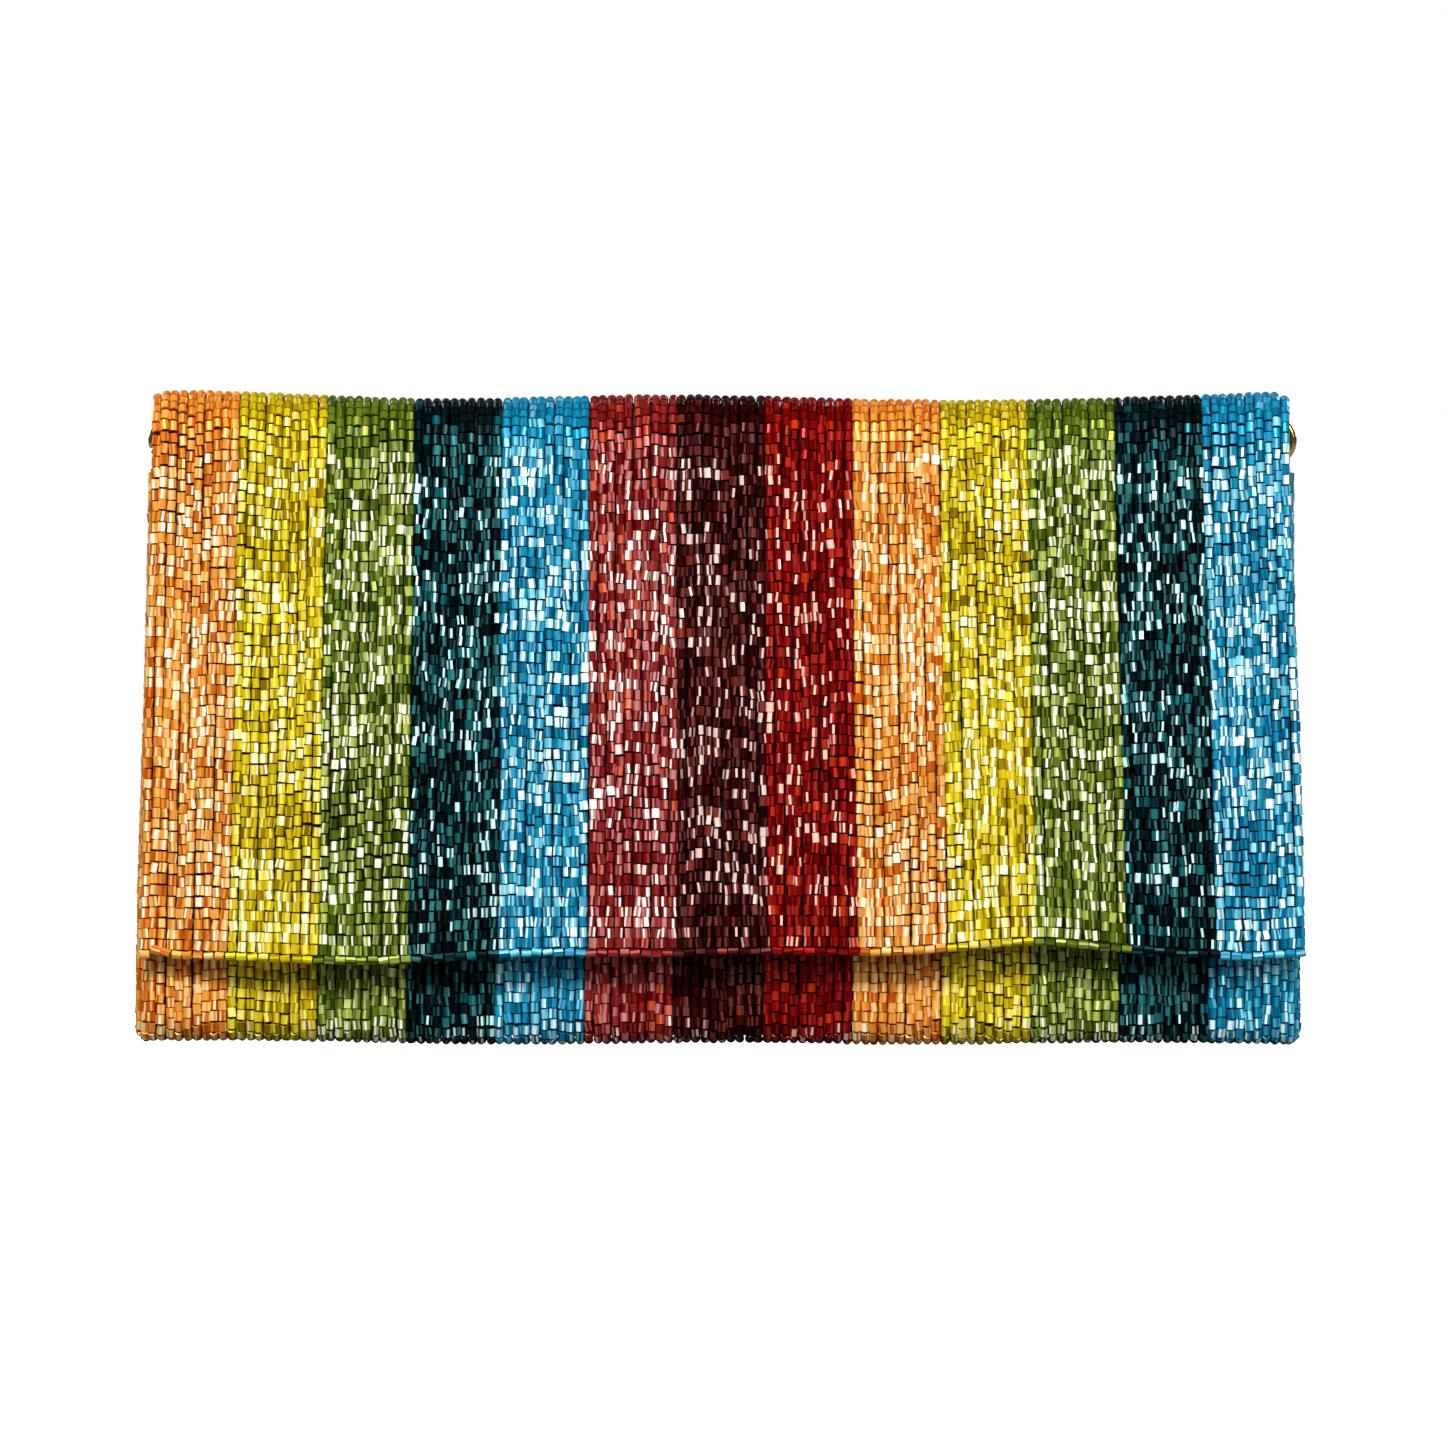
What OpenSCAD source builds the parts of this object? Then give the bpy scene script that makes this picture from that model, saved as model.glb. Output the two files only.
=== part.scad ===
// Striped bead clutch purse with a fold-over flap, standing on its base.
// Millimetres. Width runs along X, the front faces -Y, Z is up, the base lies on z = 0.
// The back wall rolls over the top in a half circle and hangs down in front as the flap.
// That roll is split in three rigid pieces so the flap can be unrolled in two equal steps.

/* [Purse size] */
// Width of the closed pouch across its side seams
pouch_w = 276; // [220:1:340]
// Width of the flap where it leaves the rolled fold
flap_top_w = 273; // [220:1:340]
// Width of the flap at its free edge
flap_edge_w = 280; // [220:1:346]
// Height from the base to the top of the fold
purse_h = 156; // [120:1:220]
// Height of the flap's free edge above the base
flap_edge_z = 23; // [10:1:60]
// Outside radius of the rolled fold, half of the whole depth
fold_r = 12; // [11:0.5:16]
// How far the pouch's front face stands behind the flap's outer face
front_setback = 6; // [5.7:0.1:6.5]
// Height of the pouch's mouth above the base
mouth_z = 138; // [100:1:139]
// Radius of the pouch's upright side corners
side_r = 7; // [5:0.5:8]
// Radius of the pouch's bottom edges
base_r = 2.5; // [2.2:0.1:3]

/* [Layers] */
// Number of upright colour stripes
stripe_count = 13; // [13:1:13]
// Thickness of the bead cover
bead_t = 2; // [1.5:0.1:2.2]
// Thickness of the cloth the beads are sewn on
cloth_t = 0.5; // [0.3:0.1:0.6]
// Thickness of the interlining
inter_t = 0.8; // [0.6:0.1:1]
// Thickness of the lining
lining_t = 0.4; // [0.3:0.1:0.5]
// Diameter of the bead row that finishes the flap's free edge
edge_bead_d = 2; // [1.5:0.1:2.2]

/* [Flap joints] */
// Angle each of the two fold joints turns through
fold_turn = 90; // [60:1:90]
// Half of the slot left between two pieces of the roll
slot_half = 0.2; // [0.2:0.05:0.4]

/* [Strap rings] */
// Outside diameter of a ring
ring_d = 13; // [11:0.5:13]
// Thickness of the ring's wire
wire_d = 2; // [1.6:0.1:2.2]
// Distance from the purse's centre to a ring's outermost point
ring_reach = 138.3; // [138:0.1:139]
// Height of a ring's centre above the base
ring_z = 145.7; // [145.5:0.1:145.8]
// Position of the rings from front to back
ring_y = 2; // [2:0.1:2.2]
// Width of the ribbon loop that holds a ring
tab_w = 3; // [2:0.5:3]
// Length of tab sewn down inside the side seam
tab_len = 11; // [8:1:16]

/* [Magnetic snap] */
// Height of the snap's centre above the base
snap_z = 45; // [38:1:60]
// Diameter of the two snap halves
snap_d = 14; // [12:0.5:16]
// Thickness of the half on the pouch
socket_t = 2.4; // [2.2:0.1:2.4]
// Diameter of the stud
stud_d = 4.6; // [4:0.1:5]
// Length of the stud
stud_len = 1.8; // [1.2:0.1:2]
// Diameter of the hole the stud enters
stud_hole_d = 5.6; // [5.4:0.1:6]
// Thickness of the plate that carries the stud
stud_plate_t = 1.6; // [1.4:0.1:1.6]
// Diameter of the washers hidden behind both halves
washer_d = 12; // [10:0.5:13]
// Thickness of those washers
washer_t = 0.5; // [0.4:0.1:0.6]

/* [Hidden] */
stripe_names = ["orange", "yellow", "green", "teal", "blue", "rose", "maroon", "red",
                "orange", "yellow", "green", "teal", "blue"];
stripe_rgb = [[0.84, 0.55, 0.22], [0.78, 0.70, 0.16], [0.44, 0.50, 0.24], [0.08, 0.24, 0.26],
              [0.20, 0.56, 0.68], [0.55, 0.24, 0.22], [0.26, 0.09, 0.08], [0.50, 0.07, 0.05],
              [0.84, 0.55, 0.22], [0.78, 0.70, 0.16], [0.44, 0.50, 0.24], [0.08, 0.24, 0.26],
              [0.20, 0.56, 0.68]];
cloth_rgb = [0.20, 0.14, 0.10];
inter_rgb = [0.85, 0.84, 0.80];
lining_rgb = [0.55, 0.40, 0.22];
brass_rgb = [0.78, 0.60, 0.28];
magnet_rgb = [0.35, 0.35, 0.37];

// Planes of the purse from front to back
fold_z = purse_h - fold_r;
back_y = fold_r;
front_y = front_setback - fold_r;

// Depth of each layer's inner face below the bead surface
cloth_in = bead_t;
inter_in = cloth_in + cloth_t;
lining_in = inter_in + inter_t;
wall_t = lining_in + lining_t;

// In the roll the lining lies straight on the cloth, because the interlining stops below it
roll_lining_r = fold_r - inter_in;
roll_inner_r = roll_lining_r - lining_t;

// The roll's pieces meet on two radial planes and turn on the middle of the cloth
roll_cut = [45, 135];
pivot_r = fold_r - bead_t - cloth_t / 2;
notch_r = pivot_r - 1.5 * slot_half;

ring_mid_r = (ring_d - wire_d) / 2;
ring_x = ring_reach - ring_d / 2;
tab_bore_r = wire_d / 2 + 0.5;
tab_outer_r = tab_bore_r + 0.6;
tab_z = ring_z - ring_mid_r;

socket_y = front_y + bead_t;
stud_y = -fold_r + wall_t;
magnet_d = snap_d - 3;
magnet_t = socket_t - 0.6;
snap_gap_d = snap_d + 0.6;

function two(i) = str(i < 10 ? "0" : "", i);
function stripe_list(zone) =
    [for (i = [1:stripe_count]) str(zone, "_stripe_", two(i), "_", stripe_names[i - 1])];
pouch_stripes = stripe_list("pouch");
fold_stripes = stripe_list("fold");
flap_stripes = stripe_list("flap");

// ---- shared shapes ----

// Extrudes a section drawn as (depth, height) along X, centred on the purse
module along_x(width) {
    translate([-width / 2, 0, 0])
        rotate([90, 0, 90])
            linear_extrude(height = width) children();
}

// Extrudes a face drawn as (width, height) backwards from y0 to y1
module along_y(y0, y1) {
    translate([0, y1, 0])
        rotate([90, 0, 0])
            linear_extrude(height = y1 - y0) children();
}

// A disc facing front to back on the snap's axis
module snap_disc(d, y0, y1) {
    translate([0, y1, snap_z])
        rotate([90, 0, 0])
            cylinder(h = y1 - y0, d = d, $fn = 64);
}

// ---- pouch ----

// Plan of the pouch, drawn inward by the given inset
module pouch_plan(inset) {
    r = side_r - inset;
    x = pouch_w / 2 - inset;
    y0 = front_y + inset;
    y1 = back_y - inset;
    translate([-x + r, y0]) square([2 * (x - r), y1 - y0]);
    translate([-x, y0 + r]) square([2 * x, y1 - y0 - 2 * r]);
    for (cx = [-x + r, x - r], cy = [y0 + r, y1 - r])
        translate([cx, cy]) circle(r = r, $fn = 48);
}

// Side profile of the pouch as (depth, height), drawn inward by the given inset
module pouch_profile(inset, top) {
    r = max(base_r - inset, 0.2);
    y0 = front_y + inset;
    y1 = back_y - inset;
    translate([y0, inset + r]) square([y1 - y0, top - inset - r]);
    translate([y0 + r, inset]) square([y1 - y0 - 2 * r, 2 * r]);
    for (cy = [y0 + r, y1 - r])
        translate([cy, inset + r]) circle(r = r, $fn = 48);
}

// The pouch as a full block, inset on every side but the top
module pouch_block(inset, top) {
    intersection() {
        linear_extrude(height = top) pouch_plan(inset);
        along_x(pouch_w) pouch_profile(inset, top);
    }
}

// One layer of the pouch's wall, open at the mouth
module pouch_layer(outer, inner) {
    difference() {
        pouch_block(outer, mouth_z);
        pouch_block(inner, mouth_z + 1);
    }
}

// ---- roll at the top ----

// Part of the roll between two radii and two angles, measured from the back wall
module roll_sector(r_out, r_in, from, to) {
    reach = 2 * r_out;
    mid = (from + to) / 2;
    translate([0, fold_z])
        intersection() {
            difference() {
                circle(r = r_out, $fn = 96);
                circle(r = r_in, $fn = 96);
            }
            polygon([[0, 0],
                     reach * [cos(from), sin(from)],
                     reach * [cos(mid), sin(mid)],
                     reach * [cos(to), sin(to)]]);
        }
}

// The slot and the notch that let two pieces of the roll turn without meeting
module roll_notches() {
    depth = fold_r;
    spread = depth * tan(fold_turn / 2);
    for (a = roll_cut)
        translate([0, fold_z])
            rotate(a) {
                translate([0, -slot_half]) square([2 * fold_r, 2 * slot_half]);
                polygon([[notch_r, 0], [notch_r + depth, spread], [notch_r + depth, -spread]]);
            }
}

// One layer of the roll between two angles, with the notches cut out
module roll_layer(r_out, r_in, from, to) {
    difference() {
        roll_sector(r_out, r_in, from, to);
        roll_notches();
    }
}

// The back wall above the mouth, then the first part of the roll
module back_rise(outer, inner) {
    translate([back_y - inner, mouth_z]) square([inner - outer, fold_z - mouth_z]);
    roll_layer(back_y - outer, back_y - inner, 0, roll_cut[0]);
}

// The lining's step over the end of the interlining; side is 1 at the back, -1 in the flap
module lining_step(side) {
    y0 = back_y - wall_t;
    y1 = back_y - inter_in;
    translate([side > 0 ? y0 : -y1, fold_z - lining_t]) square([y1 - y0, lining_t]);
}

// ---- stripes ----

// The slab of space that belongs to a stripe of a part with straight sides
module stripe_slab(i, width) {
    w = width / stripe_count;
    translate([-width / 2 + (i - 1) * w, -2 * fold_r, -1])
        cube([w, 4 * fold_r, purse_h + 2]);
}

// Face of the widening flap between two shares of its width, down to the given height
module flap_face(from, to, z_low, margin = 0) {
    drop = (fold_z - z_low) / (fold_z - flap_edge_z);
    top = flap_top_w - 2 * margin;
    low = flap_top_w + (flap_edge_w - flap_top_w) * drop - 2 * margin;
    polygon([[(from - 0.5) * top, fold_z], [(to - 0.5) * top, fold_z],
             [(to - 0.5) * low, z_low], [(from - 0.5) * low, z_low]]);
}

module pouch_stripe(i) {
    color(stripe_rgb[i - 1])
        difference() {
            union() {
                intersection() {
                    pouch_layer(0, bead_t);
                    stripe_slab(i, pouch_w);
                }
                intersection() {
                    along_x(flap_top_w) back_rise(0, bead_t);
                    stripe_slab(i, flap_top_w);
                }
            }
            // the beads leave a round field for the snap
            snap_disc(snap_gap_d, front_y - 1, front_y + bead_t + 1);
        }
}

module fold_stripe(i) {
    color(stripe_rgb[i - 1])
        intersection() {
            along_x(flap_top_w)
                roll_layer(fold_r, fold_r - bead_t, roll_cut[0], roll_cut[1]);
            stripe_slab(i, flap_top_w);
        }
}

module flap_stripe(i) {
    color(stripe_rgb[i - 1]) {
        along_y(-fold_r, -fold_r + bead_t)
            flap_face((i - 1) / stripe_count, i / stripe_count, flap_edge_z + edge_bead_d);
        intersection() {
            along_x(flap_top_w) roll_layer(fold_r, fold_r - bead_t, roll_cut[1], 180);
            stripe_slab(i, flap_top_w);
        }
    }
}

// ---- cloth, interlining and lining ----

module pouch_cloth() {
    color(cloth_rgb) {
        pouch_layer(cloth_in, inter_in);
        along_x(flap_top_w) back_rise(cloth_in, inter_in);
    }
}

module pouch_interlining() {
    color(inter_rgb)
        difference() {
            union() {
                pouch_layer(inter_in, lining_in);
                along_x(flap_top_w)
                    translate([back_y - lining_in, mouth_z])
                        square([inter_t, fold_z - lining_t - mouth_z]);
            }
            // pocket for the snap's washer
            snap_disc(washer_d + 0.2, socket_y + cloth_t - 1, socket_y + cloth_t + washer_t);
        }
}

module pouch_lining() {
    color(lining_rgb) {
        pouch_layer(lining_in, wall_t);
        along_x(flap_top_w) {
            translate([back_y - wall_t, mouth_z]) square([lining_t, fold_z - mouth_z]);
            lining_step(1);
            roll_layer(roll_lining_r, roll_inner_r, 0, roll_cut[0]);
        }
    }
}

module fold_cloth() {
    color(cloth_rgb)
        along_x(flap_top_w)
            roll_layer(fold_r - cloth_in, fold_r - inter_in, roll_cut[0], roll_cut[1]);
}

module fold_lining() {
    color(lining_rgb)
        along_x(flap_top_w) roll_layer(roll_lining_r, roll_inner_r, roll_cut[0], roll_cut[1]);
}

module flap_cloth() {
    color(cloth_rgb) {
        along_y(-fold_r + cloth_in, -fold_r + inter_in) flap_face(0, 1, flap_edge_z + 1);
        along_x(flap_top_w)
            roll_layer(fold_r - cloth_in, fold_r - inter_in, roll_cut[1], 180);
    }
}

module flap_interlining() {
    color(inter_rgb)
        difference() {
            along_y(-fold_r + inter_in, -fold_r + lining_in)
                intersection() {
                    flap_face(0, 1, flap_edge_z + 2, 1);
                    translate([-flap_edge_w / 2, 0])
                        square([flap_edge_w, fold_z - lining_t]);
                }
            // pocket for the snap's washer
            snap_disc(washer_d + 0.2, -fold_r + lining_in - washer_t, -fold_r + lining_in + 1);
        }
}

module flap_lining() {
    color(lining_rgb) {
        along_y(-fold_r + lining_in, -fold_r + wall_t) flap_face(0, 1, flap_edge_z + 1);
        along_x(flap_top_w) {
            lining_step(-1);
            roll_layer(roll_lining_r, roll_inner_r, roll_cut[1], 180);
        }
    }
}

// One row of beads laid end to end along the flap's free edge
module flap_edge_beads() {
    color(brass_rgb)
        translate([-flap_edge_w / 2, -fold_r + edge_bead_d / 2, flap_edge_z + edge_bead_d / 2])
            rotate([0, 90, 0])
                cylinder(h = flap_edge_w, d = edge_bead_d, $fn = 32);
}

// ---- strap rings and their tabs ----

module ring(side) {
    color(brass_rgb)
        translate([side * ring_x, ring_y, ring_z])
            rotate([90, 0, 0])
                rotate_extrude($fn = 64)
                    translate([ring_mid_r, 0]) circle(d = wire_d, $fn = 24);
}

// A ribbon folded round the ring's wire, its ends sewn down inside the side seam
module ring_tab(side) {
    seam_x = pouch_w / 2 - wall_t;
    inner_x = ring_x - tab_w / 2;
    color(lining_rgb)
        on_side(side) {
            difference() {
                union() {
                    translate([inner_x, ring_y, tab_z])
                        rotate([0, 90, 0])
                            cylinder(h = tab_w, r = tab_outer_r, $fn = 32);
                    translate([inner_x, ring_y - 1, mouth_z - tab_len])
                        cube([seam_x - inner_x, 2, tab_len]);
                    translate([inner_x, ring_y - 1, mouth_z - 1])
                        cube([tab_w, 2, tab_z - mouth_z]);
                }
                translate([inner_x - 1, ring_y, tab_z])
                    rotate([0, 90, 0])
                        cylinder(h = tab_w + 2, r = tab_bore_r, $fn = 32);
            }
        }
}

// Keeps the right side as drawn and mirrors it for the left
module on_side(side) {
    mirror([side < 0 ? 1 : 0, 0, 0]) children();
}

// ---- magnetic snap ----

module snap_socket() {
    color(brass_rgb)
        difference() {
            snap_disc(snap_d, socket_y - socket_t, socket_y);
            snap_disc(stud_hole_d, socket_y - socket_t - 1, socket_y + 1);
            snap_disc(magnet_d, socket_y - magnet_t, socket_y + 1);
        }
}

module snap_magnet() {
    color(magnet_rgb)
        difference() {
            snap_disc(magnet_d, socket_y - magnet_t, socket_y);
            snap_disc(stud_hole_d + 0.4, socket_y - magnet_t - 1, socket_y + 1);
        }
}

module snap_socket_washer() {
    color(brass_rgb)
        snap_disc(washer_d, socket_y + cloth_t, socket_y + cloth_t + washer_t);
}

module snap_stud() {
    color(brass_rgb) {
        snap_disc(snap_d, stud_y, stud_y + stud_plate_t);
        snap_disc(stud_d, stud_y, stud_y + stud_plate_t + stud_len);
    }
}

module snap_stud_washer() {
    color(brass_rgb)
        snap_disc(washer_d, -fold_r + lining_in - washer_t, -fold_r + lining_in);
}

// ---- nodes ----

for (i = [1:stripe_count]) {
    pouch_stripe(i);
    fold_stripe(i);
    flap_stripe(i);
}
pouch_cloth();
pouch_interlining();
pouch_lining();
ring_tab(-1);  // ring_tab_left
ring_tab(1);  // ring_tab_right
ring(-1);  // ring_left
ring(1);  // ring_right
snap_socket();
snap_magnet();
snap_socket_washer();
fold_cloth();
fold_lining();
flap_cloth();
flap_interlining();
flap_lining();
flap_edge_beads();
snap_stud();
snap_stud_washer();
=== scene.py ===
"""Looks for a striped bead clutch purse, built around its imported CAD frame.

Metres, Z up, the front faces -Y. The purse's cover is one long line of beads per column: it starts at the
flap's free edge, runs up the flap, over the roll at the top, down the back, under the base and up the front
to the mouth. Every soft layer follows the same line at its own depth.
"""

import logging
import math
from dataclasses import dataclass, field
from enum import Enum
from typing import Sequence

import bmesh
import bpy
import numpy as np
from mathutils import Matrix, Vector

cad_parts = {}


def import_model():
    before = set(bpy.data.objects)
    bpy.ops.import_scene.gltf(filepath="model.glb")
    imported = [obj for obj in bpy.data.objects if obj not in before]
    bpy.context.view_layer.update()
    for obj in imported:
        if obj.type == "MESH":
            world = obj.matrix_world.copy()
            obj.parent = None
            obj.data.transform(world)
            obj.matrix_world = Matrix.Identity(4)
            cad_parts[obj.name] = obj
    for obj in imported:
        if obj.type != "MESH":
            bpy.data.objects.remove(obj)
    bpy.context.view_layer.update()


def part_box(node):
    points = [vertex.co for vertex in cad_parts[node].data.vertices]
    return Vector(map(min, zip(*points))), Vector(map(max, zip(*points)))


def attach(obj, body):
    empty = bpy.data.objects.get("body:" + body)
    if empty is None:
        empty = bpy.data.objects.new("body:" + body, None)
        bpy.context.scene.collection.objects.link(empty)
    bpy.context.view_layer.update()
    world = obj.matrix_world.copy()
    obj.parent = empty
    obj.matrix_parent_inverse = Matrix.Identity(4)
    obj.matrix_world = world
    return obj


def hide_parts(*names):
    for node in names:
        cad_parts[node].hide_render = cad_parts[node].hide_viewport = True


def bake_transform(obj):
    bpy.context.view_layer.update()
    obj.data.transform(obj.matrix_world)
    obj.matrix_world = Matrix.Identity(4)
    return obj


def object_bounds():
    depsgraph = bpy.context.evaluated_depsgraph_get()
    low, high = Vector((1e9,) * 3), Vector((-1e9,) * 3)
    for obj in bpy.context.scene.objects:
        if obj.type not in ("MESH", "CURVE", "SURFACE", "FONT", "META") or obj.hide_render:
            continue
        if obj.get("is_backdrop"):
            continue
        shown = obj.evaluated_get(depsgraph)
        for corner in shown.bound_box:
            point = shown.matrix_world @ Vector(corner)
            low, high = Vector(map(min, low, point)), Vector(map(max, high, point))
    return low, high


LOG = logging.getLogger("clutch_purse")
MM = 0.001
SEED = 4711
Colour = tuple[float, float, float]
Array = np.ndarray


class Body(Enum):
    """The CAD bodies that pieces ride on."""

    POUCH = "pouch"
    FOLD = "fold"
    FLAP = "flap"
    RING_LEFT = "ring_left"
    RING_RIGHT = "ring_right"


class Zone(Enum):
    """The lengths that a bead column is cut into, by how they move."""

    FLAP = "flap"
    ROLL_FRONT = "roll_front"
    ROLL_BACK = "roll_back"
    POUCH = "pouch"


def rgb(red: int, green: int, blue: int) -> Colour:
    """Turn display values from 0 to 255 into a linear colour.

    Args:
        red: Display red.
        green: Display green.
        blue: Display blue.

    Returns:
        The linear colour.
    """
    def linear(value: float) -> float:
        """One channel from display to linear."""
        share = value / 255
        return share / 12.92 if share <= 0.04045 else ((share + 0.055) / 1.055) ** 2.4

    return linear(red), linear(green), linear(blue)


def smooth(share: Array) -> Array:
    """Ease values that run from 0 to 1, flat at both ends."""
    held = np.clip(share, 0, 1)
    return held * held * (3 - 2 * held)


def fade(distance: Array, reach: float) -> Array:
    """Fall off softly from 1 at no distance to almost nothing at twice the reach."""
    return np.exp(-(distance / reach) ** 2)


def wave(place: Array, length: float, start: float | Array = 0.0) -> Array:
    """A sine wave of a given length along a place, turned on by a start angle."""
    return np.sin(2 * np.pi * place / length + start)


def unit(vectors: Array) -> Array:
    """Scale vectors to a length of one."""
    return vectors / np.linalg.norm(vectors, axis=-1, keepdims=True)


# ---------------------------------------------------------------------------------------------------------
# Node groups and finishes
# ---------------------------------------------------------------------------------------------------------


class NodeSheet:
    """A node tree with short calls for adding and joining nodes."""

    def __init__(self, tree: bpy.types.NodeTree) -> None:
        """Keep the tree that nodes are added to."""
        self.tree = tree

    def add(self, kind: str, settings: dict | None = None, **inputs: object) -> bpy.types.Node:
        """Add a node.

        Args:
            kind: The node's type without the ShaderNode prefix.
            settings: Properties of the node itself.
            inputs: Input sockets by name, with _ for a space: a socket to join, or a value.

        Returns:
            The new node.
        """
        node = self.tree.nodes.new("ShaderNode" + kind)
        for name, value in (settings or {}).items():
            setattr(node, name, value)
        self.fill(node, **inputs)
        return node

    def fill(self, node: bpy.types.Node, **inputs: object) -> None:
        """Join or set several of a node's inputs.

        Args:
            node: The node.
            inputs: Input sockets by name, with _ for a space: a socket to join, or a value.
        """
        for name, value in inputs.items():
            self.feed(node.inputs[name.replace("_", " ")], value)

    def feed(self, socket: bpy.types.NodeSocket, value: object) -> None:
        """Join a socket to another one, or set its value.

        Args:
            socket: The input to fill.
            value: An output socket, or a plain value.
        """
        if isinstance(value, bpy.types.NodeSocket):
            self.tree.links.new(value, socket)
        elif socket.type == "RGBA":
            socket.default_value = (*value, 1.0)
        else:
            socket.default_value = value

    def math(self, operation: str, first: object, second: object = 0.0) -> bpy.types.NodeSocket:
        """Add a Math node.

        Args:
            operation: The sum to do.
            first: Its first input.
            second: Its second input.

        Returns:
            Its result.
        """
        node = self.add("Math", {"operation": operation})
        self.feed(node.inputs[0], first)
        self.feed(node.inputs[1], second)
        return node.outputs[0]

    def mix(self, share: object, first: object, second: object) -> bpy.types.NodeSocket:
        """Add a colour Mix node.

        Args:
            share: Share of the second colour.
            first: The first colour.
            second: The second colour.

        Returns:
            The mixed colour.
        """
        node = self.add("Mix", {"data_type": "RGBA"})
        self.feed(node.inputs["Factor"], share)
        self.feed(node.inputs[6], first)
        self.feed(node.inputs[7], second)
        return node.outputs[2]

    def step(self, value: object, low: float, high: float) -> bpy.types.NodeSocket:
        """Add a soft step from 0 to 1.

        Args:
            value: The value that climbs the step.
            low: Where the step starts.
            high: Where it ends.

        Returns:
            The step's height.
        """
        node = self.add("MapRange", {"interpolation_type": "SMOOTHSTEP"}, Value=value, From_Min=low,
                        From_Max=high)
        return node.outputs["Result"]


def new_group(name: str, inputs: dict[str, tuple[str, object]],
              outputs: dict[str, str]) -> tuple[bpy.types.NodeTree, NodeSheet, dict, dict]:
    """Start a shader node group with named sockets.

    Args:
        name: The group's name.
        inputs: Socket name to (kind, default); kind is Color, Float or Vector.
        outputs: Socket name to kind.

    Returns:
        The group, a sheet to add nodes with, its inputs by name and its outputs' sockets by name.
    """
    group = bpy.data.node_groups.new(name, "ShaderNodeTree")
    for label, (kind, default) in inputs.items():
        socket = group.interface.new_socket(label, in_out="INPUT", socket_type="NodeSocket" + kind)
        if default is not None:
            socket.default_value = (*default, 1.0) if kind == "Color" else default
    for label, kind in outputs.items():
        group.interface.new_socket(label, in_out="OUTPUT", socket_type="NodeSocket" + kind)
    sheet = NodeSheet(group)
    start = group.nodes.new("NodeGroupInput")
    end = group.nodes.new("NodeGroupOutput")
    given = {label: start.outputs[label] for label in inputs}
    wanted = {label: end.inputs[label] for label in outputs}
    return group, sheet, given, wanted


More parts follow.
